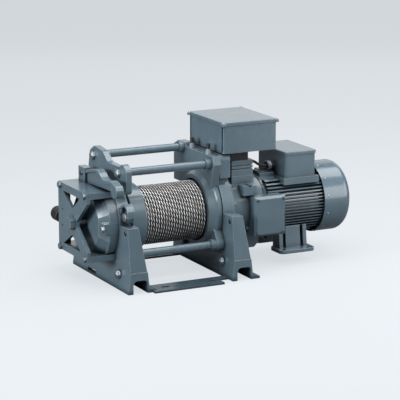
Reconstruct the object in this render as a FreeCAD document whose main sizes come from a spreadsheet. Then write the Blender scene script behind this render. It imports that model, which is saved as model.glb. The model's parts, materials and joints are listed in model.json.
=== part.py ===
import FreeCAD, Part
import math
import os
from types import SimpleNamespace

import Sketcher
from FreeCAD import Rotation, Vector

# Electric rope winch. Two cast pedestals carry a rope drum, four tie rods hold them apart, and a brake motor
# turns the drum through a two-stage planetary gear. +X runs along the drum axis towards the motor, +Y to the
# back and +Z up, in millimetres. The origin is on the floor, at the centre of the four base strip slots.

DIMENSIONS = {
    # Pedestals
    "axis_height": 174, "left_pedestal_x": -157, "sole_left": 37, "sole_right": 50, "foot_depth": 392,
    "foot_flange": 7, "foot_height": 60, "flange_slope": 6, "face_offset": 30, "shoulder_reach": 22,
    "leg_top_reach": 3, "leg_top_up": 10, "leg_depth": 44, "leg_top_depth": 34, "leg_lean": 18,
    "leg_inset": 3, "web_thickness": 20, "disc_radius": 124, "disc_thickness": 34, "arch_width": 44,
    "arch_height": 37, "arch_round": 12, "left_ear_inset": 17, "right_ear_inset": 2, "ear_radius": 29,
    "ear_round": 16, "ear_edge": 128, "ear_root": 100, "lobe_reach": 52, "lobe_drop": 55, "lobe_width": 50,
    "valley_drop": 2, "right_ear_up": 173, "right_ear_front": 98, "right_ear_step": 106,
    "side_lug_radius": 19, "side_lug_y": -136, "side_lug_up": 33, "side_lug_back": 4, "hood_up": 12,
    "hood_inner": 18, "hood_wall": 7, "hood_reach": 9, "leg_hole_radius": 8, "leg_hole_depth": 12,
    "leg_hole_drop": 18, "foot_window_y": 60, "foot_window_width": 58, "foot_window_height": 10,
    # Tie rods
    "front_rod_y": -82, "front_rod_up": 148, "rear_rod_y": 90, "rear_rod_up": 169, "low_rod_y": 116,
    "low_rod_down": 81, "rod_radius": 11.5, "spigot_radius": 8, "rod_clearance": 0.15, "rod_blind": 6,
    "nut_across": 24, "nut_height": 10, "low_lug_radius": 18, "low_lug_root": 38, "collar_radius": 16,
    "collar_length": 16,
    # Base strips
    "strip_left": 120, "strip_right": 97.5, "strip_width": 67, "strip_thickness": 6, "strip_front": 212,
    "slot_pitch": 146, "slot_length": 26, "slot_width": 11, "tongue_width": 24,
    # Drum, rope and shaft
    "barrel_radius": 78, "barrel_wall": 8, "bell_start": 23, "bell_length": 47, "bell_radius": 98,
    "bell_wall": 8, "bell_web": 10, "drum_web": 8, "drum_hub_radius": 34, "rope_diameter": 8,
    "rope_turns": 24, "rope_room": 64, "shaft_radius": 20, "shaft_end_radius": 18, "journal_reach": 6,
    "spindle_radius": 9, "fit": 0.05, "running_fit": 0.05, "bearing_left_outer": 42,
    "bearing_right_outer": 42.5, "bearing_width": 19,
    # Right end shield
    "shield_depth": 35, "shield_radius": 120, "shield_mouth": 91, "shield_face": 104, "shield_dish": 18,
    "shield_round": 13, "shield_web": 12, "shield_cavity": 97, "shield_lip": 8, "joint_gap": 1.2,
    "joint_depth": 8, "plate_rear": 150, "plate_low": 62, "plate_thickness": 24,
    # Cage and bearing cover on the left end
    "cage_reach": 87, "cage_front": 97, "cage_rear": 107, "cage_up": 101, "cage_down": 96, "cage_plate": 17,
    "end_plate": 10, "cage_arm": 15, "cage_window_top": 22, "cage_return": 34, "cage_return_wall": 8,
    "cage_bolt_inset": 15, "sight_hole": 3, "sight_hole_y": 78, "sight_hole_down": 24, "hub_radius": 22,
    "hub_cap_across": 34, "hub_cap_height": 15, "cover_radius": 120, "cover_depth": 49,
    "cover_face_half": 88, "cover_face_edge": 27, "cover_face_top": 46, "cover_shoulder": 22,
    "cover_shoulder_half": 113, "cover_shoulder_edge": 40, "cover_shoulder_top": 76, "cover_wall": 8,
    "cover_lug_width": 30, "cover_lug_reach": 112, "cover_lug_depth": 45, "rear_lug_drop": 40,
    "switch_depth": 46, "switch_height": 60, "knob_radius": 21.5, "knob_length": 44, "knob_neck": 8,
    "knob_spindle": 6, "knob_round": 5, "knob_inset": 16, "knob_drop": 5,
    # Saddle bracket, with each crest point's place across and its rise above the cage
    "saddle_reach": 25, "saddle_width": 16, "saddle_rim": 8, "saddle_step": 6, "saddle_rear": 89,
    "saddle_block": 44, "saddle_block_rise": 43, "saddle_dip_y": 40, "saddle_dip": 38, "saddle_peak_y": -9,
    "saddle_peak": 50, "saddle_fall_y": -51, "saddle_fall": 50, "saddle_knee_y": -79, "saddle_knee": 35,
    "saddle_shelf_y": -121, "saddle_shelf": 37, "saddle_front_y": -155, "saddle_front": 31,
    "saddle_boss": 19, "saddle_boss_rise": 12, "saddle_end_rise": 10,
    # Hexagon bolts
    "bolt_across": 17, "bolt_head": 7, "bolt_radius": 5, "bolt_grip": 14, "side_bolt_across": 24,
    "side_bolt_head": 10, "foot_bolt_radius": 6, "foot_bolt_y": 123, "foot_bolt_drop": 16,
    "foot_bolt_seat": 4.5, "foot_bolt_across": 22, "foot_bolt_head": 10,
    # Gear housing and planetary train
    "housing_radius": 96, "housing_bore": 88, "housing_length": 113, "housing_flange": 10,
    "housing_flange_reach": 18, "output_bore": 30, "sump_drop": 118, "sump_half_width": 62,
    "sump_start": 21, "sump_slope": 14, "gear_module": 2.6, "sun_teeth": 12, "planet_teeth": 24,
    "ring_teeth": 60, "gear_backlash": 0.5, "output_face": 28, "input_face": 24, "carrier_start": 13,
    "carrier_thickness": 12, "carrier_radius": 64, "carrier_gap": 1.5, "pin_radius": 6,
    # Motor
    "front_shield": 12, "front_shield_radius": 84, "frame_length": 190, "frame_radius": 86,
    "frame_bore": 79, "frame_end": 8, "fin_radius": 97, "fin_pitch": 9.4, "fin_thickness": 3.4,
    "fin_rows": 8, "crown_fin_span": 32, "stator_start": 37, "stator_length": 110, "stator_inner": 52,
    "air_gap": 0.5, "rotor_shaft_radius": 20, "motor_journal": 14, "motor_bearing_outer": 31,
    "motor_bearing_width": 14, "rear_shield": 12, "rear_shield_radius": 86, "cowl_lug": 16,
    "pinion_shaft": 12, "cowl_lap": 2, "cowl_reach": 93, "cowl_radius": 105, "cowl_wall": 2.5,
    "cowl_round": 27, "grille_inner": 26, "grille_outer": 72, "grille_slot": 5, "grille_count": 28,
    "fan_start": 52, "fan_radius": 84, "fan_width": 24, "fan_hub": 26, "fan_disc": 4, "fan_blade": 4,
    "fan_blades": 8, "brake_disc": 6, "brake_radius": 58, "armature_thickness": 5, "armature_travel": 0.5,
    "brake_gap": 0.3, "magnet_radius": 72, "magnet_length": 20, "sleeve_radius": 5, "sleeve_circle": 65,
    # Motor feet
    "motor_foot_start": 38, "motor_foot_length": 116, "motor_foot_inner": 38, "motor_foot_outer": 112,
    "motor_foot_bottom": 36, "motor_foot_pad": 10, "motor_foot_round": 16, "motor_foot_margin": 32,
    "motor_foot_top": 70, "foot_block_start": 34, "foot_block_length": 48, "foot_rib": 12,
    "foot_rib_inset": 12, "motor_bolt_radius": 6, "motor_bolt_x": 84, "motor_bolt_y": 190,
    # Motor terminal box, gland and cable
    "terminal_start": 62.5, "terminal_length": 104.5, "terminal_half_width": 86, "terminal_sink": 3,
    "terminal_height": 77, "terminal_lid": 10, "terminal_wall": 4, "terminal_seat": 19, "seat_reach": 6,
    "box_round": 6, "lid_reach": 2, "lid_round": 3, "gland_radius": 12, "gland_length": 20, "gland_y": -12,
    "gland_rise": 27, "cable_radius": 4, "cable_rise": 22,
    # Control box and its support
    "control_lap": 23.5, "control_length": 176.5, "control_front": -100, "control_back": 122,
    "control_height": 90.5, "control_lid": 10, "control_wall": 3, "lid_ear": 9, "corner_groove": 7,
    "groove_depth": 4, "groove_inset": 5, "support_start": 25, "support_length": 69,
    "support_half_width": 60, "support_rise": 2, "support_height": 46, "support_rib": 7,
    "support_groove": 3, "pad_lap": 8, "pad_length": 67, "pad_half_width": 54, "pad_height": 31.5,
    "stud_inset": 13, "stud_y": 52, "stud_radius": 9, "stud_tip": 6, "stud_height": 14,
    "stud_seat_up": 172, "stud_cap": 15, "gear_plate": 3, "gear_plate_margin": 16, "contactor_width": 45,
    "contactor_height": 50,
    # Brake box on the front of the gear housing
    "brake_box_lap": 49, "brake_box_length": 101, "brake_box_down": 71, "brake_box_up": 46,
    "brake_box_sink": 30, "brake_box_reach": 26, "brake_box_wall": 4, "brake_lid": 12,
    "brake_lid_slope": 7, "junction_lap": 72, "junction_length": 43, "junction_up": 48,
    "junction_height": 24, "junction_reach": 8, "junction_sink": 26, "junction_pad": 4,
}

doc = FreeCAD.newDocument("electric_winch")
sheet = doc.addObject("Spreadsheet::Sheet", "dims")
for row, (alias, number) in enumerate(DIMENSIONS.items(), start=1):
    sheet.set(f"A{row}", alias)
    sheet.set(f"B{row}", str(number))
    sheet.setAlias(f"B{row}", alias)
doc.recompute()


class Length:
    """A size that holds its formula over the sheet's cells and its present number."""

    def __init__(self, text, number):
        self.text = text
        self.number = number

    def __add__(self, other):
        other = length(other)
        return Length(f"({self.text} + {other.text})", self.number + other.number)

    def __sub__(self, other):
        other = length(other)
        return Length(f"({self.text} - {other.text})", self.number - other.number)

    def __mul__(self, other):
        other = length(other)
        return Length(f"({self.text} * {other.text})", self.number * other.number)

    def __truediv__(self, other):
        other = length(other)
        return Length(f"({self.text} / {other.text})", self.number / other.number)

    def __radd__(self, other):
        return length(other) + self

    def __rsub__(self, other):
        return length(other) - self

    def __rmul__(self, other):
        return length(other) * self

    def __neg__(self):
        return length(0) - self


def length(value):
    """Turns a plain number into a Length and leaves a Length as it is."""
    return value if isinstance(value, Length) else Length(f"({float(value)})", float(value))


def root(value):
    """The square root of a Length."""
    return Length(f"sqrt({value.text})", math.sqrt(value.number))


d = SimpleNamespace(**{alias: Length(f"dims.{alias}", float(sheet.get(alias))) for alias in DIMENSIONS})
NODES = {}
AXES = {"X": Rotation(Vector(0, 1, 0), 90), "Y": Rotation(Vector(1, 0, 0), -90), "Z": Rotation()}
PLANES = {"XY": ("XY_Plane", 1), "XZ": ("XZ_Plane", -1), "YZ": ("YZ_Plane", 1)}
CLEAR = 1.0
HOOD_STEPS = 10

# Heights that several pieces share
leg_top = d.axis_height + d.leg_top_up
foot_bolt_z = d.foot_height - d.foot_bolt_drop
side_lug_z = d.axis_height + d.side_lug_up
front_rod_z = d.axis_height + d.front_rod_up
rear_rod_z = d.axis_height + d.rear_rod_up
low_rod_z = d.axis_height - d.low_rod_down
stud_seat = d.axis_height + d.stud_seat_up
cage_bottom = d.axis_height - d.cage_down
cage_top = d.axis_height + d.cage_up
support_seat = d.axis_height + d.housing_radius + d.support_rise
support_top = support_seat + d.support_height
control_bottom = support_top + d.pad_height
control_top = control_bottom + d.control_height
terminal_bottom = d.axis_height + d.frame_radius - d.terminal_sink
terminal_top = terminal_bottom + d.terminal_height
gland_z = terminal_bottom + d.gland_rise
brake_box_bottom = d.axis_height - d.brake_box_down
brake_box_top = d.axis_height + d.brake_box_up

# Depths that follow the gear housing
brake_box_back = d.brake_box_sink - d.housing_radius
brake_box_seam = -d.housing_radius - d.brake_box_reach
brake_box_face = brake_box_seam - d.brake_lid

# Stations along the axis, one chain from the left pedestal to the fan cowl
left_x = d.left_pedestal_x
left_face = left_x - d.face_offset
left_back = left_face + d.disc_thickness
cage_left = left_face - d.cage_reach
cage_inner = cage_left + d.end_plate
cover_face_x = left_face - d.cover_depth
cover_lug_left = left_face - d.cover_lug_depth
knob_x = cage_left + d.knob_inset
saddle_left = left_face - d.saddle_reach
bell_left = left_x + d.bell_start
bell_right = bell_left + d.bell_length
rope_right = bell_right + d.rope_turns * d.rope_diameter
drum_right = rope_right + d.drum_web
right_x = rope_right + d.rope_room
right_face = right_x - d.face_offset
right_back = right_face + d.disc_thickness
shield_left = right_face - d.shield_depth
stud_x = right_face - d.stud_inset
control_left = right_back - d.control_lap
control_right = control_left + d.control_length
support_left = right_back + d.support_start
support_right = support_left + d.support_length
pad_left = support_left - d.pad_lap
pad_right = pad_left + d.pad_length
sump_left = right_back + d.sump_start
housing_right = right_back + d.housing_length
brake_box_left = housing_right - d.brake_box_lap
brake_box_right = brake_box_left + d.brake_box_length
junction_left = housing_right - d.junction_lap
junction_right = junction_left + d.junction_length
carrier_left = right_back + d.carrier_start
carrier_right = carrier_left + d.carrier_thickness
output_left = carrier_right + d.carrier_gap
output_right = output_left + d.output_face
input_carrier_left = output_right + d.carrier_gap
input_carrier_right = input_carrier_left + d.carrier_thickness
input_left = input_carrier_right + d.carrier_gap
input_right = input_left + d.input_face
motor_left = housing_right + d.front_shield
stator_left = motor_left + d.stator_start
stator_right = stator_left + d.stator_length
motor_foot_left = motor_left + d.motor_foot_start
motor_foot_right = motor_foot_left + d.motor_foot_length
terminal_left = motor_left + d.terminal_start
terminal_right = terminal_left + d.terminal_length
frame_right = motor_left + d.frame_length
rear_shield_right = frame_right + d.rear_shield
brake_disc_left = rear_shield_right + d.brake_gap
armature_left = brake_disc_left + d.brake_disc + d.brake_gap
magnet_left = armature_left + d.armature_thickness + d.armature_travel + d.brake_gap
magnet_right = magnet_left + d.magnet_length
fan_left = frame_right + d.fan_start
cowl_left = frame_right - d.cowl_lap
cowl_right = frame_right + d.cowl_reach
centre_distance = d.gear_module * (d.sun_teeth + d.planet_teeth) / 2


def bind(item, name, value):
    """Ties one property of an object to the sheet."""
    item.setExpression(name, length(value).text)


def node(name, item):
    """Names a finished sub-part."""
    item.Label = name
    NODES[name] = item
    return item


# Sketches and PartDesign features


def new_body(name, on_axis=False):
    """A body in the winch's frame, or one whose own frame lies on the drum axis."""
    body = doc.addObject("PartDesign::Body", f"{name}_body")
    if on_axis:
        bind(body, "Placement.Base.z", d.axis_height)
    return body


def pin_point(item, index, corner, across, up):
    """Fixes a sketch point by its two distances from the sketch's origin."""
    for kind, size in (("DistanceX", length(across)), ("DistanceY", length(up))):
        row = item.addConstraint(Sketcher.Constraint(kind, -1, 1, index, corner, size.number))
        item.setExpression(f"Constraints[{row}]", size.text)


def sketch(body, plane, start, polygons=(), circles=()):
    """A sketch on one of the body's planes, moved to start along the plane's world axis."""
    role, sign = PLANES[plane]
    item = body.newObject("Sketcher::SketchObject", "sketch")
    item.AttachmentSupport = [(next(f for f in body.Origin.OriginFeatures if f.Role == role), "")]
    item.MapMode = "FlatFace"
    bind(item, "AttachmentOffset.Base.z", length(start) * sign)
    for points in polygons:
        first = item.GeometryCount
        corners = [Vector(length(a).number, length(b).number, 0) for a, b in points]
        for near, far in zip(corners, corners[1:] + corners[:1]):
            item.addGeometry(Part.LineSegment(near, far))
        for index, (across, up) in enumerate(points):
            after = first + (index + 1) % len(points)
            item.addConstraint(Sketcher.Constraint("Coincident", first + index, 2, after, 1))
            pin_point(item, first + index, 1, across, up)
    for across, up, radius in circles:
        radius = length(radius)
        centre = Vector(length(across).number, length(up).number, 0)
        index = item.addGeometry(Part.Circle(centre, Vector(0, 0, 1), radius.number))
        pin_point(item, index, 3, across, up)
        row = item.addConstraint(Sketcher.Constraint("Radius", index, radius.number))
        item.setExpression(f"Constraints[{row}]", radius.text)
    return item


def pad(body, item, depth):
    """Adds material from the sketch along its normal: +X, -Y or +Z."""
    feature = body.newObject("PartDesign::Pad", "pad")
    feature.Profile = item
    bind(feature, "Length", depth)
    return feature


def pocket(body, item, depth):
    """Cuts from the sketch along its normal, and makes sure that it cut something."""
    doc.recompute()
    before = body.Shape.Volume
    feature = body.newObject("PartDesign::Pocket", "pocket")
    feature.Profile = item
    feature.Reversed = True
    bind(feature, "Length", depth)
    doc.recompute()
    if body.Shape.Volume > before - CLEAR:
        raise RuntimeError(f"{body.Name}: the pocket cut nothing")
    return feature


def loft(body, low, high):
    """A straight-sided loft between two sketches."""
    feature = body.newObject("PartDesign::AdditiveLoft", "loft")
    feature.Profile = low
    feature.Sections = [high]
    feature.Ruled = True
    return feature


def dress_edges(body, kind, size_name, size, wanted):
    """Rounds or slopes the edges of the body's last feature that the test picks."""
    doc.recompute()
    tip = body.Tip
    names = [f"Edge{index}" for index, edge in enumerate(tip.Shape.Edges, start=1) if wanted(edge)]
    if not names:
        raise RuntimeError(f"{body.Name}: no edge to dress")
    feature = body.newObject(kind, "dressed")
    feature.Base = (tip, names)
    bind(feature, size_name, size)
    doc.recompute()


def fillet_edges(body, radius, wanted):
    """Rounds the picked edges of the body's last feature."""
    dress_edges(body, "PartDesign::Fillet", "Radius", radius, wanted)


def near(first, second):
    return abs(first - second) < 0.001


def round_ring(body, point, radius):
    """Rounds the turned edge that a profile point left at (x, r)."""
    x, r = length(point[0]).number, length(point[1]).number

    def wanted(edge):
        curve = edge.Curve
        return isinstance(curve, Part.Circle) and near(curve.Radius, r) and near(curve.Center.x, x)

    fillet_edges(body, radius, wanted)


def round_corners(body, points, radius):
    """Rounds the edges along X that start from the given (y, z) corners."""
    corners = [(length(a).number, length(b).number) for a, b in points]

    def wanted(edge):
        ends = [vertex.Point for vertex in edge.Vertexes]
        if len(ends) != 2 or not all(near(ends[0][k], ends[1][k]) for k in (1, 2)):
            return False
        return any(near(ends[0].y, y) and near(ends[0].z, z) for y, z in corners)

    fillet_edges(body, radius, wanted)


def turned(name, points, rounds=()):
    """A body of revolution about the drum axis from an (x, r) profile, with some corners rounded."""
    body = new_body(name, on_axis=True)
    profile = sketch(body, "XZ", 0, [points])
    feature = body.newObject("PartDesign::Revolution", "turn")
    feature.Profile = profile
    feature.ReferenceAxis = (profile, ["H_Axis"])
    feature.Angle = 360
    for corner, radius in rounds:
        round_ring(body, points[corner], radius)
    return body


def ring(name, left, right, inner, outer):
    """A plain turned ring."""
    return turned(name, [(left, inner), (right, inner), (right, outer), (left, outer)])


def pattern(body, features, count):
    """Repeats features round the drum axis."""
    feature = body.newObject("PartDesign::PolarPattern", "pattern")
    feature.Originals = features
    feature.Axis = (next(f for f in body.Origin.OriginFeatures if f.Role == "X_Axis"), [""])
    feature.Angle = 360
    bind(feature, "Occurrences", count)
    body.Tip = feature
    doc.recompute()


# Part primitives and booleans


def box(x, y, z):
    """A block from three (low, high) pairs."""
    item = doc.addObject("Part::Box", "block")
    for name, axis, (low, high) in zip(("Length", "Width", "Height"), "xyz", (x, y, z)):
        bind(item, name, length(high) - length(low))
        bind(item, f"Placement.Base.{axis}", low)
    return item


def lay_along(item, axis, at, low):
    """Turns a primitive from Z onto an axis and puts its start there."""
    item.Placement.Rotation = AXES[axis]
    places = dict(zip([name for name in "xyz" if name != axis.lower()], at))
    places[axis.lower()] = low
    for name, place in places.items():
        bind(item, f"Placement.Base.{name}", place)


def cylinder(axis, at, radius, low, high):
    """A cylinder along an axis, at the other two coordinates."""
    item = doc.addObject("Part::Cylinder", "rod")
    bind(item, "Radius", radius)
    bind(item, "Height", length(high) - length(low))
    lay_along(item, axis, at, low)
    return item


def cone(axis, at, radius_low, radius_high, low, high):
    """A cone along an axis."""
    item = doc.addObject("Part::Cone", "cone")
    bind(item, "Radius1", radius_low)
    bind(item, "Radius2", radius_high)
    bind(item, "Height", length(high) - length(low))
    lay_along(item, axis, at, low)
    return item


def hexagon(axis, at, across, low, high):
    """A hexagonal prism along an axis, by its width across flats."""
    item = doc.addObject("Part::Prism", "hexagon")
    item.Polygon = 6
    bind(item, "Circumradius", length(across) / math.sqrt(3))
    bind(item, "Height", length(high) - length(low))
    lay_along(item, axis, at, low)
    return item


def fuse(*items):
    joined = doc.addObject("Part::MultiFuse", "fusion")
    joined.Shapes = list(items)
    joined.Refine = True
    return joined


def cut(base, *tools):
    item = doc.addObject("Part::Cut", "cut")
    item.Base = base
    item.Tool = tools[0] if len(tools) == 1 else fuse(*tools)
    item.Refine = True
    return item


def common(*items):
    item = doc.addObject("Part::MultiCommon", "common")
    item.Shapes = list(items)
    return item


def group(*items):
    item = doc.addObject("Part::Compound", "group")
    item.Links = list(items)
    return item


def rounded(item, radius, wanted):
    """Rounds the picked edges of a primitive."""
    doc.recompute()
    picks = [index for index, edge in enumerate(item.Shape.Edges, start=1) if wanted(edge)]
    result = doc.addObject("Part::Fillet", "rounded")
    result.Base = item
    result.Edges = [(index, radius.number, radius.number) for index in picks]
    return result


def upright(edge):
    ends = [vertex.Point for vertex in edge.Vertexes]
    return len(ends) == 2 and near(ends[0].x, ends[1].x) and near(ends[0].y, ends[1].y)


def bolt(axis, at, seat, outward, across, head, radius, grip):
    """A hexagon bolt: its head stands out from the seat and its shank goes in."""
    tip = seat + outward * head
    inner = seat - outward * grip
    low, high = (seat, tip) if outward > 0 else (tip, seat)
    first, last = (inner, seat) if outward > 0 else (seat, inner)
    return fuse(hexagon(axis, at, across, low, high), cylinder(axis, at, radius, first, last))


# Tie rods are placed first, because castings are drilled for them

top_rods = [(d.front_rod_y, front_rod_z), (d.rear_rod_y, rear_rod_z)]
low_rods = [(-d.low_rod_y, low_rod_z), (d.low_rod_y, low_rod_z)]
rod_hole = d.spigot_radius + d.rod_clearance


def pedestal(name, middle, ear_left, ears, bore, extras):
    """A cast pedestal: channel foot, two tapered legs, web, round disc and the two rod ears."""
    body = new_body(name)
    face = middle - d.face_offset
    half = d.foot_depth / 2
    left, right = middle - d.sole_left, middle + d.sole_right
    shoulder = middle + d.shoulder_reach
    foot = [(left, 0), (right, 0), (right, d.foot_flange),
            (shoulder + d.flange_slope, d.foot_flange + d.flange_slope), (shoulder, d.foot_height),
            (face, d.foot_height), (left, d.foot_flange)]
    pad(body, sketch(body, "XZ", half, [foot]), d.foot_depth)
    for side in (-1, 1):
        front = half - d.leg_inset
        top_front = half - d.leg_lean
        low = [(face, side * front), (shoulder, side * front), (shoulder, side * (front - d.leg_depth)),
               (face, side * (front - d.leg_depth))]
        reach = middle + d.leg_top_reach
        high = [(face, side * top_front), (reach, side * top_front),
                (reach, side * (top_front - d.leg_top_depth)), (face, side * (top_front - d.leg_top_depth))]
        loft(body, sketch(body, "XY", d.foot_height - CLEAR, [low]),
             sketch(body, "XY", leg_top, [high]))
    web_low = half - d.leg_inset - d.leg_depth / 2
    web_high = half - d.leg_lean - d.leg_top_depth / 2
    web = [(-web_low, d.foot_height - CLEAR), (web_low, d.foot_height - CLEAR),
           (web_high, leg_top - CLEAR), (-web_high, leg_top - CLEAR)]
    pad(body, sketch(body, "YZ", face, [web]), d.web_thickness)
    disc = sketch(body, "YZ", face, circles=[(0, d.axis_height, d.disc_radius)])
    pad(body, disc, d.disc_thickness)
    ear_right = face + d.disc_thickness
    pad(body, sketch(body, "YZ", ear_left, [ears]), ear_right - ear_left)
    round_corners(body, ears[2:-2], d.ear_round)
    arch = [(middle - d.arch_width / 2, 0), (middle + d.arch_width / 2, 0),
            (middle + d.arch_width / 2, d.arch_height), (middle - d.arch_width / 2, d.arch_height)]
    pocket(body, sketch(body, "XZ", half + CLEAR, [arch]), d.foot_depth + 2 * CLEAR)

    def arch_corner(edge):
        ends = [vertex.Point for vertex in edge.Vertexes]
        return (len(ends) == 2 and near(ends[0].z, d.arch_height.number) and near(ends[1].z, ends[0].z)
                and near(ends[0].x, ends[1].x))

    fillet_edges(body, d.arch_round, arch_corner)
    hole = sketch(body, "YZ", face - CLEAR, circles=[(0, d.axis_height, bore)])
    pocket(body, hole, d.disc_thickness + 2 * CLEAR)
    leg_hole_y = half - d.leg_lean - d.leg_top_depth / 2
    leg_holes = [(side * leg_hole_y, leg_top - d.leg_hole_drop, d.leg_hole_radius) for side in (-1, 1)]
    pocket(body, sketch(body, "YZ", face - CLEAR, circles=leg_holes), d.leg_hole_depth + CLEAR)
    bolts = [(side * d.foot_bolt_y, foot_bolt_z, d.foot_bolt_radius + d.rod_clearance) for side in (-1, 1)]
    pocket(body, sketch(body, "YZ", left - CLEAR, circles=bolts), right - left + 2 * CLEAR)
    extras(body, face, left)
    return node(name, body)


def left_ear_outline():
    """The (y, z) outline of the left ear plate: root, rear ear, valley and hanging front lobe."""
    lobe = d.front_rod_y - d.lobe_reach
    foot = front_rod_z - d.lobe_drop
    root_z = d.axis_height + d.disc_radius / 2
    valley = rear_rod_z - d.valley_drop
    ear = d.ear_radius
    return [(-d.ear_root, root_z), (d.ear_root, root_z), (d.ear_edge, rear_rod_z - ear * 1.3),
            (d.rear_rod_y + ear * 0.9, rear_rod_z + ear * 0.4), (d.rear_rod_y - ear * 0.2, rear_rod_z + ear),
            (d.rear_rod_y - ear * 2.2, rear_rod_z + ear * 0.8), (d.rear_rod_y - ear * 3.4, valley),
            (d.front_rod_y - ear * 0.1, valley), (d.front_rod_y - ear, front_rod_z + ear * 1.1),
            (lobe, front_rod_z + ear * 0.5), (lobe, foot), (lobe + d.lobe_width, foot),
            (lobe + d.lobe_width, foot - d.lobe_width * 0.4)]


def right_ear_outline():
    """The (y, z) outline of the right ear plate, kept low under the control box."""
    root_z = d.axis_height + d.disc_radius / 2
    inner = d.ear_round - d.ear_root
    step = d.axis_height + d.right_ear_step
    top = d.axis_height + d.right_ear_up
    return [(inner, root_z), (d.ear_root, root_z), (d.ear_edge, d.axis_height + d.disc_radius),
            (d.ear_edge, top), (-d.right_ear_front, top), (-d.right_ear_front, step), (inner, step)]


def left_extras(body, face, left):
    """The left casting's rod holes, hooded bolt lug on the disc rim and window over its rear anchor."""
    ear_left = face + d.left_ear_inset
    ear_depth = d.disc_thickness - d.left_ear_inset
    rods = [(y, z, rod_hole) for y, z in top_rods]
    pocket(body, sketch(body, "YZ", ear_left - CLEAR, circles=rods), ear_depth + 2 * CLEAR)
    low_holes = [(y, z, rod_hole) for y, z in low_rods]
    blind = sketch(body, "YZ", face + d.rod_blind, circles=low_holes)
    pocket(body, blind, d.web_thickness - d.rod_blind + CLEAR)
    depth = ear_depth - d.side_lug_back
    pad(body, sketch(body, "YZ", ear_left - d.hood_reach, [hood_outline()]), depth + d.hood_reach)
    pad(body, sketch(body, "YZ", ear_left, circles=[(d.side_lug_y, side_lug_z, d.side_lug_radius)]), depth)
    hole = (d.side_lug_y, side_lug_z, d.bolt_radius + d.rod_clearance)
    pocket(body, sketch(body, "YZ", ear_left - CLEAR, circles=[hole]), d.bolt_grip + 2 * CLEAR)
    low, high = d.foot_flange, d.foot_flange + d.foot_window_height
    near_y, far_y = d.foot_window_y - d.foot_window_width / 2, d.foot_window_y + d.foot_window_width / 2
    window = [(near_y, low), (far_y, low), (far_y, high), (near_y, high)]
    pocket(body, sketch(body, "YZ", left - CLEAR, [window]), d.sole_left)


def hood_outline():
    """The (y, z) outline of the hood over the side lug: two uprights and a round arch over the bolt head."""
    outer = d.hood_inner + d.hood_wall
    spring = side_lug_z + d.hood_up
    angles = [math.radians(step * 180 / HOOD_STEPS) for step in range(HOOD_STEPS + 1)]
    over = [(d.side_lug_y - outer * math.cos(a), spring + outer * math.sin(a)) for a in angles]
    under = [(d.side_lug_y - d.hood_inner * math.cos(a), spring + d.hood_inner * math.sin(a)) for a in angles]
    near_foot = [(d.side_lug_y - d.hood_inner, side_lug_z), (d.side_lug_y - outer, side_lug_z)]
    far_foot = [(d.side_lug_y + outer, side_lug_z), (d.side_lug_y + d.hood_inner, side_lug_z)]
    return near_foot + over + far_foot + under[::-1]


def right_extras(body, face, left):
    """The right casting's through holes for the lower rods."""
    low_holes = [(y, z, rod_hole) for y, z in low_rods]
    pocket(body, sketch(body, "YZ", face - CLEAR, circles=low_holes), d.web_thickness + 2 * CLEAR)


def pedestals():
    pedestal("left_pedestal", left_x, left_face + d.left_ear_inset, left_ear_outline(),
             d.bearing_left_outer + d.fit, left_extras)
    pedestal("right_pedestal", right_x, right_face + d.right_ear_inset, right_ear_outline(),
             d.bearing_right_outer + d.shield_lip, right_extras)


def right_end_shield():
    """The dished shield beside the rope, with its bearing seat, rod lugs and broad upper plate."""
    back = right_face
    rim_back = back - d.joint_gap
    rim_step = d.shield_radius - d.joint_depth
    web = back - d.shield_web
    seat = d.bearing_right_outer + d.fit
    profile = [(shield_left, d.shield_mouth), (shield_left, d.shield_face),
               (shield_left + d.shield_dish, d.shield_radius), (rim_back, d.shield_radius),
               (rim_back, rim_step), (back, rim_step), (back, seat), (back - d.bearing_width, seat),
               (back - d.bearing_width, seat + d.shield_lip), (web, seat + d.shield_lip),
               (web, d.shield_cavity), (shield_left + d.shield_lip, d.shield_cavity),
               (shield_left + d.shield_lip, d.shield_mouth)]
    body = turned("right_end_shield", profile, [(2, d.shield_round)])
    up = d.axis_height
    plate = [(-d.shield_radius * 0.7, d.plate_low), (d.plate_rear, d.plate_low),
             (d.plate_rear, d.rear_rod_up), (d.rear_rod_y + d.ear_radius, d.rear_rod_up + d.ear_radius / 2),
             (d.rear_rod_y - d.ear_radius / 2, d.rear_rod_up + d.ear_radius / 2),
             (d.stud_y + 2 * d.stud_radius, d.stud_seat_up),
             (d.front_rod_y - d.ear_radius * 0.7, d.stud_seat_up),
             (d.front_rod_y - d.ear_radius, front_rod_z - up)]
    plate_left = back - d.plate_thickness
    pad(body, sketch(body, "YZ", plate_left, [plate]), d.plate_thickness - d.joint_gap)
    doc.recompute()
    for y, z in low_rods:
        pad(body, sketch(body, "YZ", plate_left, [lug_web(y, z - up)]), d.plate_thickness - d.joint_gap)
        lug = sketch(body, "YZ", plate_left, circles=[(y, z - up, d.low_lug_radius)])
        pad(body, lug, d.plate_thickness - d.joint_gap)
    inner = sketch(body, "YZ", plate_left - CLEAR, circles=[(0, 0, d.shield_cavity)])
    pocket(body, inner, web - plate_left + CLEAR)
    holes = [(y, z - up, rod_hole) for y, z in top_rods + low_rods]
    pocket(body, sketch(body, "YZ", plate_left - CLEAR, circles=holes), d.plate_thickness + 2 * CLEAR)
    node("right_end_shield", body)


def lug_web(y, z):
    """The outline of the tapered web between a lower rod lug and the shield's rim, about the drum axis."""
    reach = root(y * y + z * z)
    along_y, along_z = y / reach, z / reach
    tip, wide = d.low_lug_radius, d.low_lug_root
    inner_y, inner_z = along_y * d.shield_cavity, along_z * d.shield_cavity
    return [(y - along_z * tip, z + along_y * tip), (y + along_z * tip, z - along_y * tip),
            (inner_y + along_z * wide, inner_z - along_y * wide),
            (inner_y - along_z * wide, inner_z + along_y * wide)]


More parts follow.
